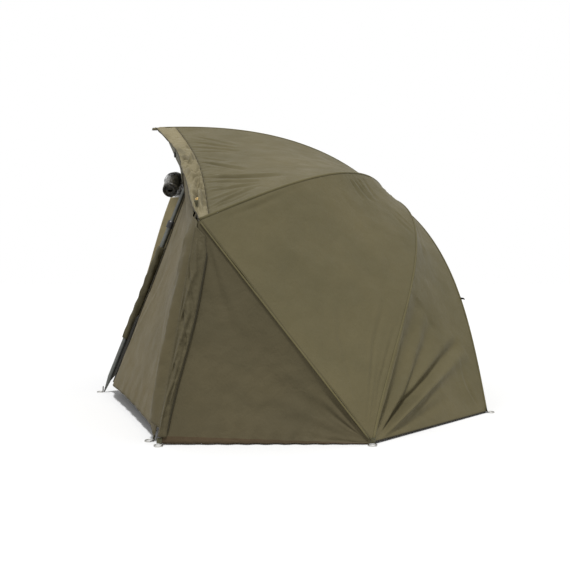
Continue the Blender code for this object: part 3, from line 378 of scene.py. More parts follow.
def grid_of(rows, columns, point, wrap=False):
    """Points from a function of the share down and the share across or, in a closed grid, the angle round."""
    last = columns / (2 * math.pi) if wrap else columns - 1
    return np.array([[point(r / (rows - 1), c / last) for c in range(columns)] for r in range(rows)])


def shares(grid, first=0.0, last=1.0):
    """The shares across and down of every point of a grid."""
    rows, columns = grid.shape[:2]
    return np.meshgrid(np.linspace(first, last, columns), np.linspace(0, 1, rows))


def linked(name, data):
    """A new object in the scene."""
    item = bpy.data.objects.new(name, data)
    bpy.context.scene.collection.objects.link(item)
    return item


def surface(name, grid, materials, thickness, outward=None, hem=None, wrap=False):
    """A sheet on a grid of points, with flat and seam coordinates in metres; past hem it has its second material."""
    grid = np.asarray(grid, float)
    rows, columns = grid.shape[:2]
    r, c = np.mgrid[0:rows - 1, 0:columns if wrap else columns - 1].reshape(2, -1)
    a, b = r * columns + c, r * columns + (c + 1) % columns
    faces = np.stack([a, b, b + columns, a + columns], axis=1)
    if outward is not None:
        mid = rows // 2, columns // 2
        along = grid[mid] - grid[mid[0], mid[1] - 1]
        down = grid[mid] - grid[mid[0] - 1, mid[1]]
        if np.dot(np.cross(along, down), np.broadcast_to(outward, grid.shape)[mid]) < 0:
            faces = faces[:, ::-1]
    data = bpy.data.meshes.new(name)
    data.from_pydata(grid.reshape(-1, 3).tolist(), [], faces.tolist())
    data.update()
    across = np.linalg.norm(np.diff(grid, axis=1), axis=2)
    down = np.linalg.norm(np.diff(grid, axis=0), axis=2)
    u = np.concatenate([np.zeros((rows, 1)), np.cumsum(across, axis=1)], axis=1)
    v = np.concatenate([np.zeros((1, columns)), np.cumsum(down, axis=0)], axis=0)
    side = np.minimum(u, u[:, -1:] - u)
    end = np.minimum(v, v[-1:, :] - v)
    index = np.zeros(len(data.loops), int)
    data.loops.foreach_get("vertex_index", index)
    for layer, first, second in (("flat", u, v), ("seam", np.minimum(side, end), np.where(side < end, v, u))):
        values = np.stack([first.ravel()[index], second.ravel()[index]], 1).ravel()
        data.uv_layers.new(name=layer).data.foreach_set("uv", values)
    item = linked(name, data)
    for material in materials if isinstance(materials, list) else [materials]:
        data.materials.append(material)
    if hem is not None:
        data.polygons.foreach_set("material_index", (r / (rows - 1) > hem).astype(int).tolist())
    data.shade_smooth()
    shell = item.modifiers.new("cloth", "SOLIDIFY")
    shell.thickness = thickness
    shell.offset = 0.0
    return item


def normals_of(grid, outward_from):
    normal = np.cross(np.gradient(grid, axis=1), np.gradient(grid, axis=0))
    normal /= np.maximum(np.linalg.norm(normal, axis=2, keepdims=True), 1e-9)
    return -normal if np.sum(normal * (grid - outward_from)) < 0 else normal


def wobble(grid, scale, seed, octaves=3):
    """Soft noise at every point, about -1 to 1."""
    shift = Vector((seed, seed * 1.7, -seed))
    values = [noise.fractal(Vector(p) * scale + shift, 0.6, 2.1, octaves) for p in grid.reshape(-1, 3)]
    return np.array(values).reshape(grid.shape[:2])


def tube(name, line, radius, material, sides=10, closed=False):
    """A round cord or wire through points, as a mesh with caps."""
    data = bpy.data.curves.new(name, "CURVE")
    data.dimensions = "3D"
    data.bevel_depth = radius
    data.bevel_resolution = max(1, sides // 4)
    data.use_fill_caps = True
    path = data.splines.new("POLY")
    path.points.add(len(line) - 1)
    for slot, point in zip(path.points, line):
        slot.co = (*point, 1.0)
    path.use_cyclic_u = closed
    path.use_smooth = True
    item = linked(name, data)
    graph = bpy.context.evaluated_depsgraph_get()
    mesh = bpy.data.meshes.new_from_object(item.evaluated_get(graph))
    bpy.data.objects.remove(item)
    mesh.materials.clear()
    mesh.materials.append(material)
    mesh.shade_smooth()
    for layer in ("flat", "seam"):
        if layer not in mesh.uv_layers:
            mesh.uv_layers.new(name=layer)
    return linked(name, mesh)


def ring(name, centre, normal, major, minor, material, sides=28):
    first = Vector(normal).normalized().orthogonal().normalized()
    second = Vector(normal).normalized().cross(first)
    line = [Vector(centre) + (first * math.cos(t) + second * math.sin(t)) * major
            for t in (2 * math.pi * i / sides for i in range(sides))]
    return tube(name, line, minor, material, 8, closed=True)


# Pieces: each sheet rides on a body

RIB_ANGLE = {"front": FRONT, "corner_r": CORNER, "corner_l": -CORNER, "side_r": FLANK,
             "side_l": -FLANK, "rear_r": REAR, "rear_l": -REAR}
ROUND_THE_HUB = [REAR - 2 * math.pi, -REAR, -FLANK, -CORNER, FRONT, CORNER, FLANK, REAR, 2 * math.pi - REAR]
BESIDE = 0.02  # of a gore's anchor from its rib


def moving(body, joint=None, anchor=None):
    """What makes a piece ride on a body, with a mesh of its own when a joint is given."""
    def move(item):
        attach(item, body)
        if joint:
            tuple(anchor)
            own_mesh(item)
    return move


def gathered(rib_name, side):
    """On a rib, with an anchor beside it on the cloth's own side."""
    axis = tangent(RIB_ANGLE[rib_name])
    return moving("rib_" + rib_name, "rib_" + rib_name + "_fold", HUB + axis * BESIDE * side)


def bundled(side):
    """On the front rib, with the rib's tip as the anchor."""
    tip, corner = rib(FRONT, LENGTH["front"]), rib(side * CORNER, LENGTH["corner"])
    return moving("rib_front", "rib_front_fold", tip)


ON_GROUND = moving("shelter", "rib_rear_r_fold", (0, 0, 0.004))
HEADER_FOLD = moving("rib_front", "rib_front_fold", (0, 0, 0))
ROLL_FOLD = moving("rib_front", "rib_front_fold", (0, 0, 0))


def place(item, slot, move):
    move(item)


def cord(name, line, radius, material, slot, move, sides=10):
    place(tube(name, line, radius, material, sides), slot, move)


def sheet(name, grid, materials, thickness, outward, slot, move, held, rests_on, replaces=None, hem=None, wrap=False):
    """Build and place one piece of cloth, hiding the part that it replaces."""
    item = surface(name, grid, materials, thickness, outward, hem, wrap)
    if replaces:
        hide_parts(replaces)
    place(item, slot, move)


def tape(name, line, half, normal, across, crown, material, thickness, *rest):
    """A narrow crowned tape along a line."""
    normal, across = np.asarray(normal, float), np.asarray(across, float)
    grid = np.array([[point + across * half * t + normal * crown * (1 - t * t)
                      for t in (-1, -0.5, 0, 0.5, 1)] for point in line])
    sheet(name, grid, material, thickness, normal, *rest)


def tab(name, start, end, half, across, material, *rest):
    """A short doubled webbing tab."""
    normal = unit(np.cross(end - start, across))
    line = lerp(start, end, np.linspace(0, 1, 14)[:, None])
    tape(name, line, half, normal if normal[2] > 0 else -normal, across, 0.001, material, DOUBLED, "webbing", *rest)


# Folds of the cloth

# Each fold: its width and height in tenths of a millimetre, then the places that it runs through,
# in thousandths down the cloth from its first edge (a gore's at the hub, the brim's at its seam,
# the corner's at the ground) and across it
FRONT_FOLDS = (
    (140, -90, (998, 300), (900, 350), (780, 410)), (120, -60, (998, 360), (840, 420)),
    (140, -80, (985, 235), (785, 360)), (140, -55, (960, 150), (780, 330)),
    (150, -130, (998, 495), (920, 580), (820, 690)), (120, -40, (998, 430), (860, 550)),
    (170, -190, (998, 685), (860, 770), (690, 850)), (130, -120, (998, 735), (790, 870)),
    (120, 40, (998, 640), (880, 750)), (130, -120, (990, 830), (800, 895)),
    (110, -110, (990, 955), (900, 930), (800, 912)), (100, -85, (990, 900), (860, 905)),
    (80, -75, (985, 975), (870, 935)), (70, -60, (965, 975), (850, 958)), (80, -34, (998, 560), (900, 650)),
    (80, -45, (998, 790), (900, 850)), (80, -28, (998, 200), (900, 250)),
    (300, 40, (300, 900), (360, 550), (420, 300)), (120, -30, (60, 500), (200, 420)),
    (120, -28, (60, 700), (220, 660)))
SIDE_FOLDS = (
    (130, -100, (405, 30), (422, 320)), (120, -110, (374, 30), (390, 360)),
    (120, -95, (346, 40), (380, 390)), (130, -60, (310, 40), (350, 400)),
    (100, -50, (340, 600), (352, 970)), (100, -45, (300, 600), (320, 970)),
    (80, -50, (990, 985), (860, 965), (700, 955)), (90, -45, (990, 975), (820, 930)),
    (140, -50, (985, 960), (800, 880), (660, 840)), (120, -55, (930, 45), (720, 50)),
    (100, -40, (900, 30), (600, 30)), (120, -35, (60, 500), (220, 450)), (110, -30, (60, 250), (200, 220)),
    (180, -40, (985, 930), (880, 720), (800, 620)))
REAR_FOLDS = (
    (340, -260, (992, 35), (895, 230), (750, 383), (660, 450)),
    (260, 300, (994, 60), (888, 398), (777, 883)), (200, -200, (994, 50), (870, 360), (745, 800)),
    (200, -140, (985, 20), (868, 55), (700, 98)), (600, -420, (990, 25), (860, 130), (600, 200)),
    (180, -100, (996, 60), (975, 270), (930, 620)), (160, 80, (994, 50), (910, 310), (830, 620)),
    (140, 90, (992, 40), (890, 190), (790, 280)), (100, -60, (985, 15), (900, 25), (780, 30)),
    (120, -40, (60, 500), (240, 450)), (300, -50, (200, 100), (420, 300)),
    (160, -60, (985, 930), (900, 840), (800, 800)))
BACK_FOLDS = (
    (240, -120, (985, 50), (860, 220), (720, 340)), (240, -130, (985, 950), (840, 800), (700, 700)),
    (180, -80, (990, 60), (930, 300), (900, 460)), (180, -80, (990, 940), (920, 720), (880, 580)),
    (160, -80, (980, 30), (820, 100), (660, 140)), (160, -80, (980, 970), (800, 910), (640, 880)),
    (120, -40, (60, 350), (240, 400)), (120, -40, (60, 650), (220, 620)))
BRIM_FOLDS = (
    (120, 90, (950, 300), (550, 420), (200, 500)), (130, -100, (900, 420), (600, 500), (400, 600)),
    (120, 110, (100, 460), (450, 520), (850, 500)), (140, -120, (50, 600), (400, 660), (550, 780)),
    (130, 100, (950, 580), (600, 640), (300, 700)), (120, 110, (200, 700), (600, 740), (850, 840)),
    (120, -110, (50, 760), (300, 800), (500, 880)), (100, 100, (600, 980), (450, 900), (300, 800)),
    (110, -90, (980, 970), (700, 880), (550, 800)), (90, 85, (20, 860), (350, 880), (700, 940)),
    (120, 60, (100, 300), (500, 330)), (100, 40, (950, 100), (600, 200)))
SKIRT_FOLDS = (
    (100, 70, (220, 930), (160, 840), (120, 740)), (120, 60, (340, 930), (250, 830), (200, 720)),
    (140, 50, (500, 920), (400, 800), (340, 700)), (90, 60, (80, 970), (60, 860), (50, 760)),
    (200, 50, (30, 50), (200, 160), (400, 300)), (140, 50, (980, 950), (930, 800), (900, 620)))
WALL_FOLDS = (
    (220, 40, (20, 40), (300, 200), (620, 400)), (200, 50, (20, 960), (250, 800), (520, 660)),
    (180, 35, (970, 300), (800, 260), (550, 240)), (120, 30, (970, 120), (700, 80), (400, 70)))
CORNER_FOLDS = (
    (70, 100, (40, 200), (220, 340), (420, 620)), (70, 110, (300, 100), (460, 300), (620, 660)),
    (60, 90, (520, 80), (660, 300), (800, 600)), (50, 70, (140, 700), (300, 800), (460, 900)),
    (60, -90, (400, 120), (300, 400), (160, 700)), (60, -90, (620, 100), (520, 420), (420, 780)),
    (60, -80, (800, 100), (720, 400), (600, 800)), (60, 70, (930, 300), (840, 500), (740, 800)))


def crowded(count, power):
    """Shares from 0 to 1 that lie closer together towards 1."""
    even = np.linspace(0.0, 1.0, count)
    return 0.35 * even + 0.65 * (1 - (1 - even) ** power)


def creases(grid, normal, t, u, folds):
    """Heights of the listed folds, each wider and lower as it runs."""
    total = np.zeros(grid.shape[:2])
    for width, height, *places in folds:
        points = [grid[np.abs(t[:, 0] - a / 1000).argmin(), np.abs(u[0] - b / 1000).argmin()] for a, b in places]
        nearest = np.full(total.shape, np.inf)
        apart, along = np.zeros(total.shape), np.zeros(total.shape)
        for step, (first, last) in enumerate(zip(points, points[1:])):
            run = last - first
            share = np.clip((grid - first) @ run / (run @ run), 0.0, 1.0)
            away = grid - (first + share[..., None] * run)
            gap = np.linalg.norm(away, axis=2)
            side = np.sign(np.sum(away * np.cross(normal, run), axis=2))
            closer = gap < nearest
            nearest = np.where(closer, gap, nearest)
            apart = np.where(closer, gap * side, apart)
            along = np.where(closer, (step + share) / (len(points) - 1), along)
        scaled = apart / (width / 10000 * (0.22 + 1.05 * along))
        shape = np.exp(-scaled ** 2) - 0.55 * np.exp(-(scaled - 1.6) ** 2)
        total += height / 10000 * shape * smoothstep(0.0, 0.45, along + 0.1) * (1 - along) ** 0.45
    return total


def fan(grid, corner, along, across, count, fade, phase=0.0):
    """Waves that spread from a corner that the cloth is pulled to."""
    away = grid - corner
    x, y = away @ np.asarray(along, float), away @ np.asarray(across, float)
    reach = np.hypot(x, y)
    return np.cos(count * np.arctan2(y, x) + phase) * smoothstep(0.05, 0.2, reach) * np.exp(-reach / fade)


def drape_of(grid, normal, t, u, folds, belly, seed):
    """How far the cloth leaves the taut sheet: its belly, its listed folds, hub gathers and soft unevenness."""
    edge = arch(u)
    hold = np.clip(edge * 9.0, 0.0, 1.0) ** 0.7
    drape = -belly * edge * arch(t)
    drape += creases(grid, normal, t, u, folds) * hold
    drape += 0.0032 * np.cos(14 * np.pi * u + 2.0 * t) * np.exp(-t / 0.08) * edge
    drape += 0.007 * wobble(grid, 2.9, seed) * edge * smoothstep(0.05, 0.3, t)
    drape += 0.001 * wobble(grid, 11.0, seed + 3.0) * hold
    return drape


def seam_waves(u, count, bend, turn):
    """The gathers of cloth that is sewn to a shorter edge."""
    return np.cos(2 * np.pi * count * u + bend * np.sin(turn * u))


# Canopy

ROOF_HEM, EDGE_EASE = 0.992, (0.955, 1.0, 0.75)


def brim_edges(side, u):
    """Front edge and rear seam of the brim band, both drawn back between the ribs."""
    u = np.asarray(u, float)[..., None]
    front, corner = LENGTH["front"], LENGTH["corner"]
    capped = rib(FRONT, front - CAP_OVERLAP)
    edge = lerp(capped, rib(side * CORNER, corner), u) + (rib(FRONT, front - 0.004) - capped) * (1 - u) ** 3
    seam = lerp(rib(FRONT, front - BRIM_FRONT), rib(side * CORNER, corner - BRIM_CORNER), u)
    inset = unit(seam - edge) * BRIM_CURVE * arch(u)
    return edge + inset, seam + inset


def gore(name, ribs, extra, t, u, folds, belly, seed, move):
    """The roof between two ribs, taut but for its folds; in front it meets the brim, behind it has a hem."""
    first, second = (rib(RIB_ANGLE[key], START + (LENGTH[key.split("_")[0]] + more - START) * t)
                     for key, more in zip(ribs, extra))
    grid = lerp(first[:, None], second[:, None], u[None, :, None])
    u, t = np.meshgrid(u, t)
    meets_brim, hemmed = ribs[0] == "front", ribs[1].startswith("rear")
    if meets_brim:
        edge, seam = brim_edges(math.copysign(1.0, RIB_ANGLE[ribs[1]]), u[-1])
        seam = seam + unit(seam - edge) * SHEET_GAP
        grid = grid + (seam - grid[-1]) * smoothstep(0.72, 1.0, t)[..., None]
    normal = normals_of(grid, INSIDE)
    drape = drape_of(grid, normal, t, u, folds, belly, seed)
    if meets_brim:
        gathers = np.cos(68 * np.pi * u + 3.0 * np.sin(5 * u) + 2.0 * t)
        drape += 0.0016 * gathers * np.exp(-(1 - t) / 0.022) * np.clip(arch(u) * 4.0, 0, 1)
    if hemmed:
        start, end, share = EDGE_EASE
        drape *= 1 - smoothstep(start, end, t) * share
    sheet("canopy_" + name, grid + normal * drape[..., None], [CANOPY, PIPING] if hemmed else CANOPY, CLOTH, normal,
          "canopy_cloth", move, "stretched", ["rib_" + key for key in ribs], "gore_" + name,
          ROOF_HEM if hemmed else None)


def build_gores():
    kinds = (("front", (-BRIM_FRONT, -BRIM_CORNER), crowded(130, 1.5), crowded(170, 1.3), FRONT_FOLDS, 0.013, 2.0),
             ("side", (0.0, OVERHANG), np.linspace(0, 1, 150), crowded(120, 1.3), SIDE_FOLDS, 0.014, 5.0),
             ("rear", (OVERHANG, OVERHANG), crowded(140, 1.4), np.linspace(0, 1, 110), REAR_FOLDS, 0.014, 9.0))
    for label, side in SIDES:
        ribs = ["front", "corner_" + label, "side_" + label, "rear_" + label]
        for index, (kind, *values, seed) in enumerate(kinds):
            gore(f"{kind}_{label}", ribs[index:index + 2], *values, seed + side, gathered(ribs[index + 1], -side))
    gore("back", ["rear_r", "rear_l"], (OVERHANG, OVERHANG), crowded(120, 1.3), np.linspace(0, 1, 120),
         BACK_FOLDS, 0.014, 14.0, gathered("rear_r", 1.0))


def build_seams():
    """A doubled, stitched seam over every rib."""
    share = np.linspace(0.02, 1.0, 60)
    for name, angle in RIB_ANGLE.items():
        kind = name.split("_")[0]
        length = LENGTH[kind] - (CAP_OVERLAP if kind == "front" else 0.0)
        arc = START + (length - START) * share
        centre = rib(angle, arc)
        slope = np.interp(arc, ARCS, CURVES[kind][0])[:, None]
        normal = np.sin(slope) * spoke(angle) + np.cos(slope) * AXIS
        here = ROUND_THE_HUB.index(angle)
        columns = [centre + normal * 0.003]
        for order in (-1, 1):
            neighbour = ROUND_THE_HUB[here + order]
            toward = unit(rib(neighbour, START + (LENGTH[kind_of(neighbour)] - START) * share) - centre)
            mid, low = (centre + toward * out + normal * up for out, up in ((0.0034, 0.0022), (0.0072, 0.001)))
            columns = [low, mid] + columns if order < 0 else columns + [mid, low]
        sheet("seam_" + name, np.stack(columns, axis=1), TAPE, THIN, normal[30], "canopy_cloth",
              moving("rib_" + name), "stretched", ["rib_" + name])


def build_brim(label, side):
    edge, seam = brim_edges(side, np.linspace(0, 1, 230))
    grid = lerp(seam, edge, np.linspace(0, 1, 24)[:, None, None])
    normal = normals_of(grid, INSIDE)
    u, v = shares(grid)
    bulky = smoothstep(0.34, 0.58, u) * (1 - smoothstep(0.88, 1.0, u))
    reach = 0.02 * bulky * v + 0.004 * wobble(grid, 12.0, 33.0 + side) * v
    grid = grid + unit(edge - seam) * reach[..., None]
    ends = np.clip(arch(u) * 4.0, 0, 1)
    swell = arch(v) ** 0.7
    puff = 0.006 * arch(v) * ends
    puff += 0.003 * seam_waves(u, 34, 3.0, 5) * (1 - v) ** 2 * ends
    puff += 0.011 * seam_waves(u, 23, 4.0, 7) * (1 - v) ** 1.5 * smoothstep(0.45, 0.7, u) * ends
    puff += 0.005 * wobble(grid, 13.0, 21.0 + side, 4) * swell
    puff += (0.01 + 0.016 * wobble(grid, 15.0, 25.0 + side)) * swell * bulky
    puff += 0.009 * np.abs(wobble(grid, 22.0, 28.0 + side, 4)) * swell * (0.15 + 0.85 * bulky)
    puff += 2.4 * creases(grid, normal, v, u, BRIM_FOLDS) * np.clip(2.2 * swell, 0, 1) * ends
    puff += 0.004 * np.abs(wobble(grid, 48.0, 38.0 + side)) * swell * (0.25 + 0.75 * bulky)
    grid = grid + normal * puff[..., None]
    sheet("brim_band_" + label, grid, [BRIM, PIPING], DOUBLED, normal, "brim_cloth", bundled(side), "stretched",
          ["rib_front", "rib_corner_" + label], "brim_" + label, 0.96)
    for name, row, raised, radius in (("piping", -1, 0.0005, 0.0022), ("seam", 0, 0.0012, 0.0016)):
        cord(f"brim_{name}_{label}", grid[row] + normal[row] * raised, radius, PIPING, "brim_cloth", bundled(side))


# Skirts, panels and flaps


def corner_tip(side):
    return rib(side * CORNER, LENGTH["corner"], 0.006)


def side_tip(side):
    """The side rib's end, and the ground under it."""
    tip = rib(side * FLANK, LENGTH["side"] + OVERHANG, 0.006)
    return tip, np.array([tip[0], tip[1], 0.004])


def build_skirt(label, side):
    last = 0.985
    top, (back, back_ground) = corner_tip(side), side_tip(side)
    front_ground = flip(CORNER_GROUND, side)

    def point(down, across):
        high = lerp(top, back, last * across) + (0, 0, -0.0012)
        return lerp(high, lerp(front_ground, back_ground, last * across), down)

    grid = grid_of(90, 130, point)
    u, v = shares(grid, 0.0, last)
    edge = arch(u) * arch(v)
    soft = np.sqrt(np.clip(edge, 0, 1))
    drape = 0.02 * edge + 0.005 * wobble(grid, 6.0, 31.0 + side) * soft
    drape += 0.004 * fan(grid, back * (1, 1, 0), (0, -1, 0), (0, 0, 1), 21.0, 0.4, 0.8) * soft
    drape += 0.0035 * np.cos(22 * np.pi * u) * smoothstep(0.8, 1.0, v) * arch(u)
    hold = np.clip(arch(v) * 8.0, 0, 1)
    drape += creases(grid, normals_of(grid, INSIDE), v, u, SKIRT_FOLDS) * hold
    grid = grid + side * SIDEWAYS * (0.001 - drape)[..., None]
    sheet("side_skirt_" + label, grid, [SKIRT, MUDFLAP], CLOTH, (side, 0, 0), "skirt_cloth", ON_GROUND, "hung",
          ["rib_corner_" + label, "rib_side_" + label], "skirt_" + label, 0.962)
    # folded hem along the roof edge
    line = lerp(top, back, np.linspace(0.01, 0.975, 40)[:, None]) + (side * 0.004, 0, -0.004)
    tape("skirt_seam_" + label, line, 0.006, (side * 0.8, 0, 0.6), (side * 0.6, 0, -0.8), 0.0012, TAPE, THIN,
         "skirt_cloth", ON_GROUND, "stretched", ["skirt_" + label])


POLE_SHARE = (POLE_TOP[0] + SLEEVE_R) / (brim_edges(1.0, 1.0)[0] - brim_edges(1.0, 0.0)[0])[0]


def panel_top(side, u):
    edge, seam = brim_edges(side, u)
    return lerp(edge, seam, PANEL_BACK_SHARE) + (0, 0, -PANEL_DROP)


def panel_point(side, up, across):
    """A place on the panel as the frame has it, from the pole to the corner."""
    up += (1 - up) * PANEL_HEM_SHARE * min(1.0, PANEL_COLUMNS * (1 - across))
    foot, top = flip(POLE_FOOT, side), flip(POLE_TOP, side)
    aside = np.array([side * (SLEEVE_R + SHEET_GAP), 0, 0])
    joint = lerp(foot, top, 0.97) + aside
    if up < 0.86:
        inner = lerp(foot + aside + (0, 0, 0.004), joint, up / 0.86)
    else:
        inner = lerp(joint, panel_top(side, POLE_SHARE), (up - 0.86) / 0.14)
    outer = lerp(flip(PANEL_GROUND, side), corner_tip(side) + (-side * 0.03, -0.03, -0.03), up)
    point = lerp(inner, outer, across)
    if up > 0.9:
        goal = panel_top(side, POLE_SHARE + (1 - POLE_SHARE) * across * 0.96)
        point = lerp(point, goal, (up - 0.9) / 0.1)
    return point + (0, 0.018 * arch(across) * arch(min(1.0, up)), 0)


def wall_point(side, up, across):
    """The panel as it is sewn: its hem lifts between the pegs, and its door edge passes behind the pole."""
    up += (1 - up) ** 2 * 0.012 * arch(across)
    behind = (1 - smoothstep(0.0, 0.16, across)) * (1 - smoothstep(0.9, 0.97, up))
    return panel_point(side, up, across) + np.array([-side * 0.014, 0.026, 0.0]) * behind


def build_panel(label, side):
    grid = grid_of(110, 96, lambda up, across: wall_point(side, up, across))
    normal = normals_of(grid, np.array([0.0, 0.3, 0.5]))
    u, v = shares(grid)
    soft = np.sqrt(np.clip(arch(u) * arch(v), 0, 1))
    drape = 0.005 * wobble(grid, 3.0, 41.0 + side) * soft
    corner = grid[0, -1]
    drape += 0.0022 * fan(grid, corner, unit(grid[-1, -1] - corner), unit(grid[0, 0] - corner), 13.0, 0.45) * soft
    drape += 0.002 * np.cos(18 * np.pi * u) * np.exp(-v / 0.08) * arch(u)
    drape += creases(grid, normal, v, u, WALL_FOLDS) * np.clip(soft * 3.0, 0, 1)
    grid = grid + normal * (drape - 0.001)[..., None] + (0, -0.001, 0)
    sheet("front_wall_" + label, grid, PANEL, CLOTH, normal, "panel_cloth", ON_GROUND, "hung",
          ["pole_sleeve_" + label, "brim_" + label], "front_panel_" + label)
    build_door_edge(label, side, grid, normal)


def build_door_edge(label, side, wall, normal):
    """Zip tapes and a mesh strip on the wall beside the pole, and the pale door lining on the pole's other side."""
    facing = normal * np.where(normal[..., 1:2] > 0, -1.0, 1.0)
    raised, count, column = wall + facing * 0.0036, len(wall), 9
    for name, at, low in (("door_zip", column, 0.3), ("door_zip_outer", 14, 0.42)):
        line = raised[int(low * count):int(0.93 * count), at]
        cord(f"{name}_{label}", line, 0.0026, PIPING, "webbing", ON_GROUND, 8)
    foot, top = flip(POLE_FOOT, side), flip(POLE_TOP, side)
    rows = np.arange(int(0.05 * count), int(0.32 * count))
    inner = lerp(foot, top, (0.97 * rows / (count - 1) / 0.86)[:, None]) + (side * 0.006, 0.013, 0.004)
    grid = lerp(inner[:, None], raised[rows, column][:, None], np.linspace(0.0, 1.0, 12)[:, None])
    sheet("door_mesh_" + label, grid, MESH, THIN, facing[40, column], "webbing", ON_GROUND, "stretched",
          ["front_panel_" + label])
    share, across, corners = np.linspace(0.36, 0.925, 60), np.linspace(0.0, 1.0, 16), np.linspace(0, 1, 4)
    sideways = side * np.interp(across, corners, (-0.004, -0.024, -0.0262, -0.0262))
    grid = np.array([lerp(foot, top, up) + np.stack(
        [sideways, np.interp(across, corners, (0.024, 0.014, -0.006, -wide)), 0 * across], 1)
        for up, wide in zip(share, 0.018 + 0.042 * smoothstep(0.4, 0.93, share))])
    ripple = 0.0018 * np.sin(23.0 * share)[:, None] * across + 0.0022 * wobble(grid, 16.0, 71.0 + side)
    grid = grid + -side * SIDEWAYS * (np.abs(ripple) * across)[..., None]
    sheet("door_lining_" + label, grid, LINING, CLOTH, (side, 0, 0), "panel_cloth", ON_GROUND, "hung",
          ["front_panel_" + label])


def flap_point(side, up, across):
    ground, tip = flip(CORNER_GROUND, side), corner_tip(side)
    pole = lerp(ground, tip, up)
    inner = panel_point(side, up, 1 - 1.0 / PANEL_COLUMNS) + (side * 0.0042, -0.0052, 0)
    ripple = 0.014 * arch(across) * arch(up)
    lean = np.linalg.norm(panel_point(side, up, 1.0) - pole) * arch(across) ** 2
    return lerp(pole + (0, -0.0026, 0), inner, across) + (side * ripple, -ripple - lean * 0.35, 0)


def build_corner(label, side):
    low = 0.06
    outward = unit((side, -1.0, 0))
    grid = grid_of(110, 24, lambda down, across: flap_point(side, low + (0.985 - low) * down, across))
    u, v = shares(grid)
    drape = 0.0055 * np.cos(2 * np.pi * (2.0 * u + 0.7 * v)) * arch(u) * arch(v)
    drape += 0.004 * wobble(grid, 11.0, 55.0 + side) * arch(u)
    sheet("corner_cover_" + label, grid + outward * drape[..., None], CORNER_WALL, 0.0014, outward, "panel_cloth",
          ON_GROUND, "hung", ["front_panel_" + label], "corner_flap_" + label)
    # the bunched cloth down the corner, and its zip
    ground, tip, (back, low_back) = flip(CORNER_GROUND, side), corner_tip(side), side_tip(side)
    across, share = np.meshgrid(np.linspace(0.0, 1.0, 30), np.linspace(0.03, 0.965, 150))
    width = (0.018 + 0.026 * smoothstep(0.05, 0.7, share)) * (1 - 0.3 * smoothstep(0.88, 0.97, share))
    away = ((width * across - 0.004 * (1 - across)) / (back[1] - tip[1]))[..., None]
    grid = lerp(lerp(ground, low_back, away), lerp(tip, back, away), share[..., None])
    held = arch(across) ** 0.6 * arch(share) ** 0.4
    pleat = np.sin(2 * np.pi * (1.5 * across + 1.1 * share) + 3.4 * wobble(grid, 4.0, 81.0 + side))
    rumple = np.abs(wobble(grid, 17.0, 85.0 + side, 4))
    fold = creases(grid, normals_of(grid, INSIDE), share, across, CORNER_FOLDS)
    out = 0.0042 + held * (0.009 + 0.004 * pleat + 0.006 * rumple) + np.clip(held * 2.0, 0, 1) * fold
    grid = grid + side * SIDEWAYS * np.maximum(out, 0.002)[..., None]
    grid[..., 1] -= 0.005 * (1 - across) + 0.006 * held * np.sin(9.0 * share + 1.0)
    sheet("corner_fold_" + label, grid, COVER, CLOTH, (side, 0, 0), "skirt_cloth", ON_GROUND, "hung",
          ["skirt_" + label])
    cord("corner_zip_" + label, grid[4:-10, -1] + (side * 0.0016, 0.0012, 0), 0.0026, PIPING, "webbing",
         ON_GROUND, 8)


def build_header():
    """The band over the door, with its two toggles."""
    def point(down, across):
        run = 2.0 * across - 1.0
        high = panel_top(1.0 if run >= 0 else -1.0, POLE_SHARE * abs(run) * 1.07)
        high[2] += 0.0005 - 0.0125 * max(0.0, 1 - abs(run) / 0.2)
        low = np.array([run * 1.05 * (POLE_TOP[0] + SLEEVE_R), HUB[1] - 1.065, 1.06])
        return lerp(high, low, down) + (0, 0.007 * smoothstep(0.88, 0.95, abs(run)), 0)

    grid = grid_of(26, 61, point)
    u, v = shares(grid, -1.0, 1.0)
    drape = 0.005 * np.cos(9 * np.pi * u) * np.sin(np.pi * v / 2) * (1 - u * u)
    drape += 0.005 * wobble(grid, 8.0, 61.0) * arch(v) * (1 - u * u)
    front = np.array([0.0, -1.0, 0.0])
    grid = grid + front * (drape * 0.6 + 0.0008)[..., None]
    sheet("header_panel", grid, [HEADER, PIPING], CLOTH, front, "panel_cloth", HEADER_FOLD, "hung",
          ["brim_r", "brim_l"], "door_header", 0.95)
    for label, side in SIDES:
        hang = grid[4, 30 + int(side * 24)] + (0, -0.004, 0)
        at = hang + (0, -0.008, -0.03)
        bar = [at + np.array([0.3, 0, 1.0]) * d for d in np.linspace(-0.012, 0.012, 5)]
        cord("brim_toggle_" + label, bar, 0.005, BLACK, "black_plastic", HEADER_FOLD, 12)
        cord("toggle_cord_" + label, [hang, (hang + at) / 2 + (0, -0.004, 0), at], 0.0016, WEB_DARK, "webbing",
             HEADER_FOLD, 8)


# Rolled door

ROLL_SPAN = 0.45  # of the roll's centre line, across the door


def roll_centre(share):
    run = 2.0 * share - 1.0
    return np.array([run * ROLL_SPAN / 2, HUB[1] - 1.1412, 1.037 + 0.085 * (1 - run * run)])


def ring_point(centre, first, second, turn, radius=1.0):
    return centre + radius * (first * math.cos(turn) + second * math.sin(turn))


def roll_point(share, radius, turn):
    """A place round the roll's centre line, from its front upwards."""
    front = np.array([0.0, -1.0, 0.0])
    up = unit(np.cross(front, roll_centre(share + 0.01) - roll_centre(share - 0.01)))
    return ring_point(roll_centre(share), front, up, turn, radius)


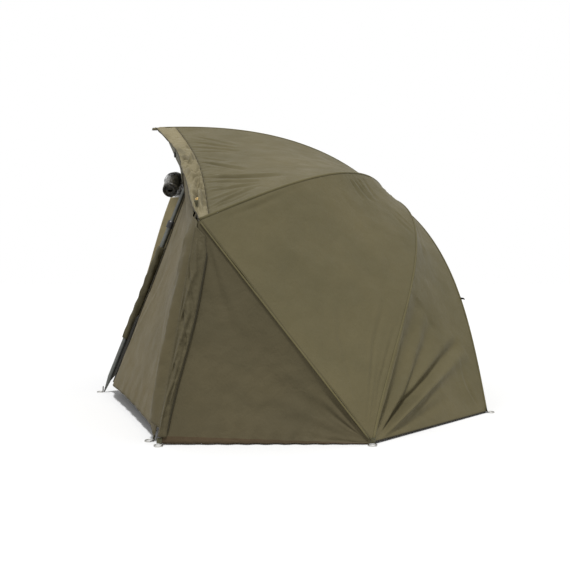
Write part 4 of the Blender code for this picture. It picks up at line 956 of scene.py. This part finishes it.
def build_roll():
    def point(share, part):
        turn = 2 * math.pi * 5.6 * part + 0.5
        swell = 1 + 0.02 * math.sin(9.0 * share) + 0.012 * math.sin(23.0 * share + 1.0)
        radius = (0.009 + 0.034 * part) * swell + 0.0009 * math.sin(3 * turn + 6 * share)
        end = 0.004 * math.sin(turn * 1.3) if share in (0.0, 1.0) else 0.0
        return roll_point(share, radius, turn) + (end, 0, 0)

    sheet("rolled_door", grid_of(40, 150, point), ROLL, 0.0022, None, "door_cloth", ROLL_FOLD, "folded",
          ["door_header"], "door_roll")
    for label, side in SIDES:
        share = 0.5 + side * 0.12 / ROLL_SPAN
        grid = grid_of(5, 48, lambda down, turn: roll_point(
            share + 0.012 * (2 * down - 1) / ROLL_SPAN, 0.0462, turn), True)
        sheet("door_tie_" + label, grid, WEB_DARK, 0.0018, None, "webbing", ROLL_FOLD, "stretched", ["door_roll"],
              "roll_strap_" + label, wrap=True)
        middle = roll_point(share, 0.0498, math.atan2(-0.6, 0.8))
        bar = [middle + SIDEWAYS * d for d in np.linspace(-0.016, 0.016, 7)]
        cord("toggle_" + label, bar, 0.0042, BLACK, "black_plastic", ROLL_FOLD, 12)
        high = roll_centre(share) + (0, 0.046, 0.012)
        hook = np.array([side * 0.15, high[1] + 0.004, high[2] + 0.075])
        line = [lerp(high, hook, t) + (0, -0.004 * arch(t), 0) for t in np.linspace(0, 1, 12)]
        tape("tie_tail_" + label, line, 0.009, (0, -1, 0), (1, 0, 0), 0.0008, WEB_DARK, THIN, "webbing", ROLL_FOLD,
             "hung", ["door_header"])


# Pole sleeves, tabs and small trim


def build_sleeve(label, side):
    foot, top = flip(POLE_FOOT, side), flip(POLE_TOP, side)
    axis = unit(top - foot)
    out = unit(side * SIDEWAYS - axis * side * axis[0])
    front = unit(np.cross(axis, out))

    def point(share, turn):
        ruck = 0.0009 * math.sin(14 * math.pi * share + 2.5 * math.sin(turn)) \
            + 0.0012 * math.sin(4 * turn + 9 * share) + 0.0009 * math.sin(41 * share)
        radius = 0.0172 + ruck + 0.0015 * arch(share)
        return ring_point(foot + axis * (0.3 + 0.5 * share), out, front, turn, radius)

    sheet("pole_cover_" + label, grid_of(70, 28, point, True), SLEEVE, DOUBLED, None, "webbing",
          moving("shelter"), "gathered", ["pole_lower_" + label], "pole_sleeve_" + label, wrap=True)


def build_trim(label, side):
    rear_rib, side_rib = "rib_rear_" + label, "rib_side_" + label
    # webbing tabs that hold the peg rings
    for name, start, across, move in (
            ("corner", flip(CORNER_GROUND, side) + (0, 0, 0.02), (0, 1, 0), ON_GROUND),
            ("panel", flip(PANEL_GROUND, side) + (0, 0, 0.018), (1, 0, 0), ON_GROUND),
            ("pole", flip(POLE_FOOT, side) + (side * 0.004, -0.004, 0.03), (1, 0, 0), ON_GROUND),
            ("side", rib(side * FLANK, LENGTH["side"], 0.004) + (0, 0, 0.014), (0, 1, 0), moving(side_rib)),
            ("rear", rib(side * REAR, LENGTH["rear"], 0.004) + (0, 0, 0.014), (1, 0, 0), moving(rear_rib))):
        node = f"ring_{name}_{label}"
        low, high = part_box(node)
        centre = np.array((low + high) / 2)
        end = centre + unit((start - centre) * (1, 1, 0)) * 0.0155 + (0, 0, 0.003)
        tab(f"peg_tab_{name}_{label}", start, end, 0.0095, np.array(across, float),
            WEB_PALE if name == "pole" else WEB, move, "hung", [node])
    # eyelet, ring and webbing pull on the brim band near the corner
    edge, seam = brim_edges(side, 0.9)
    face = unit(np.cross(edge - seam, brim_edges(side, 0.92)[0] - edge))
    face *= np.sign(face[2])
    at = lerp(seam, edge, 0.8) + face * 0.023
    low = at + (side * 0.012, -0.006, -0.022)
    for name, centre, normal, major, minor, look in (
            ("eyelet", at, face, 0.007, 0.0024, BRASS),
            ("pull_ring", low, (side, 0.2, 0.3), 0.01, 0.0017, STEEL)):
        place(ring(f"corner_{name}_{label}", centre, normal, major, minor, look), "steel", bundled(side))
    tab("corner_pull_" + label, at + (side * 0.012, -0.004, -0.008), low + (side * 0.004, -0.002, -0.032), 0.0085,
        np.array([0.0, 1.0, 0.0]), WEB, bundled(side), "hung", ["brim_" + label])
    # short stitched loop on the rear rib
    angle, arc = side * REAR, 0.8
    spread = unit(rib(angle, arc + 0.01) - rib(angle, arc - 0.01))
    line = [rib(angle, arc + out, lift) for out, lift in ((0.0, 0.008), (0.004, 0.016), (0.01, 0.024))]
    tape("rear_loop_" + label, line, 0.007, spread, tangent(angle), 0.0006, WEB_DARK, 0.004, "webbing",
         moving(rear_rib), "folded", [rear_rib])


def build_tip_pocket():
    """The sewn pocket that holds the front rib's end, open at the tip."""
    def point(share, turn):
        centre = rib(FRONT, LENGTH["front"] - 0.04 + 0.052 * share, 0.0)
        wide, tall = 0.0125 - 0.0045 * share, 0.0086 - 0.001 * share
        return ring_point(centre, wide * SIDEWAYS, tall * AXIS, turn, 1 + 0.05 * math.sin(3 * turn + 7 * share))

    sheet("tip_pocket", grid_of(18, 24, point, True), BRIM, 0.0014, None, "brim_cloth", moving("rib_front"),
          "folded", ["rib_tip_cap"], wrap=True)


def build_hub_cap():
    """The puckered round of cloth over the hub, with its button."""
    reach, drop = (np.interp(0.058, ARCS, values) for values in CURVES["front"][1:])
    seat = 0.006 + 0.002 + 0.0003 - drop

    def point(down, turn):
        lean = math.pi / 2 * down
        pucker = 0.0008 * math.cos(14 * turn) * math.sin(lean) ** 3
        height = seat - 0.001 if down == 1.0 else seat + 0.004 + 0.014 * math.cos(lean) ** 1.2 + 0.4 * pucker
        return HUB + (reach * math.sin(lean) + pucker) * spoke(turn) + height * AXIS

    sheet("hub_cover", grid_of(22, 84, point, True), HUB_CLOTH, CLOTH, AXIS, "canopy_cloth", moving("shelter"),
          "stretched", ["hub_boss"], "hub_cap", wrap=True)
    cord("hub_button", [HUB + AXIS * (seat + 0.018 + d) for d in (0.0, 0.001, 0.003)], 0.0095, BLACK,
         "black_plastic", moving("shelter"), 20)


# Materials of the pieces that the frame already shapes


def paint_frame():
    looks = ((("runner_trigger", "shaft_tube", "pole_lower", "pole_upper"), GREY),
             (("rib_tip", "hub_boss", "runner", "shaft_end", "pole_clamp"), BLACK),
             (("rib_", "stretcher_"), RIBS), (("ring_",), STEEL))
    for name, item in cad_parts.items():
        for starts, look in looks:
            if name.startswith(starts):
                item.data.materials.clear()
                item.data.materials.append(look)
                break
        item.data.shade_smooth()
        item.data.set_sharp_from_angle(angle=math.radians(38))


# Stage, lights and camera

SENSOR, FOCAL_PIXELS, PHOTO_PIXELS = 36.0, 707.6, 570.0


def build_stage():
    bpy.ops.mesh.primitive_plane_add(size=60.0, location=(0, 0, -0.0005))
    floor = bpy.context.active_object
    floor.name = "floor"
    n = material("floor_white")
    base = n.mix(n.backdrop_rays(), (0.62, 0.62, 0.61), (0.97, 0.97, 0.97))
    floor.data.materials.append(n.shade(base, 0.9, Specular_IOR_Level=0.0))

    scene = bpy.context.scene
    scene.world = bpy.data.worlds.new("studio")
    n = Nodes(scene.world)
    light, mixer = n.tree.nodes["Background"], n.add("ShaderNodeMixShader")
    plain = n.add("ShaderNodeBackground")
    for background, strength in ((light, 0.5), (plain, 1.0)):
        n.feed(background.inputs["Color"], (1.0, 1.0, 1.0))
        n.feed(background.inputs["Strength"], strength)
    for slot, value in zip(mixer.inputs, (n.backdrop_rays(), light.outputs[0], plain.outputs[0])):
        n.feed(slot, value)
    n.feed(n.tree.nodes["World Output"].inputs["Surface"], mixer.outputs[0])

    sun = bpy.data.lights.new("key", "SUN")
    sun.energy = 2.1
    sun.angle = math.radians(9.0)
    lamp = linked("key", sun)
    lamp.rotation_euler = Vector((0.34, 0.02, 1.0)).to_track_quat("Z", "Y").to_euler()
    scene.view_settings.view_transform = "Standard"

    camera = bpy.data.cameras.new("view")
    camera.lens = SENSOR * FOCAL_PIXELS / PHOTO_PIXELS
    camera.sensor_width = SENSOR
    camera.clip_start = 0.05
    eye = linked("view", camera)
    eye.location = (3.897, HUB[1] - 0.547, 0.615)
    eye.rotation_euler = (math.radians(90.0 - 1.03), 0.0, math.radians(90.0))
    scene.camera = eye


build_stage()
build_gores()
build_seams()
for build in (build_brim, build_skirt, build_panel, build_corner):
    for name, sign in SIDES:
        build(name, sign)
build_header()
build_roll()
for build in (build_sleeve, build_trim):
    for name, sign in SIDES:
        build(name, sign)
build_hub_cap()
build_tip_pocket()
paint_frame()
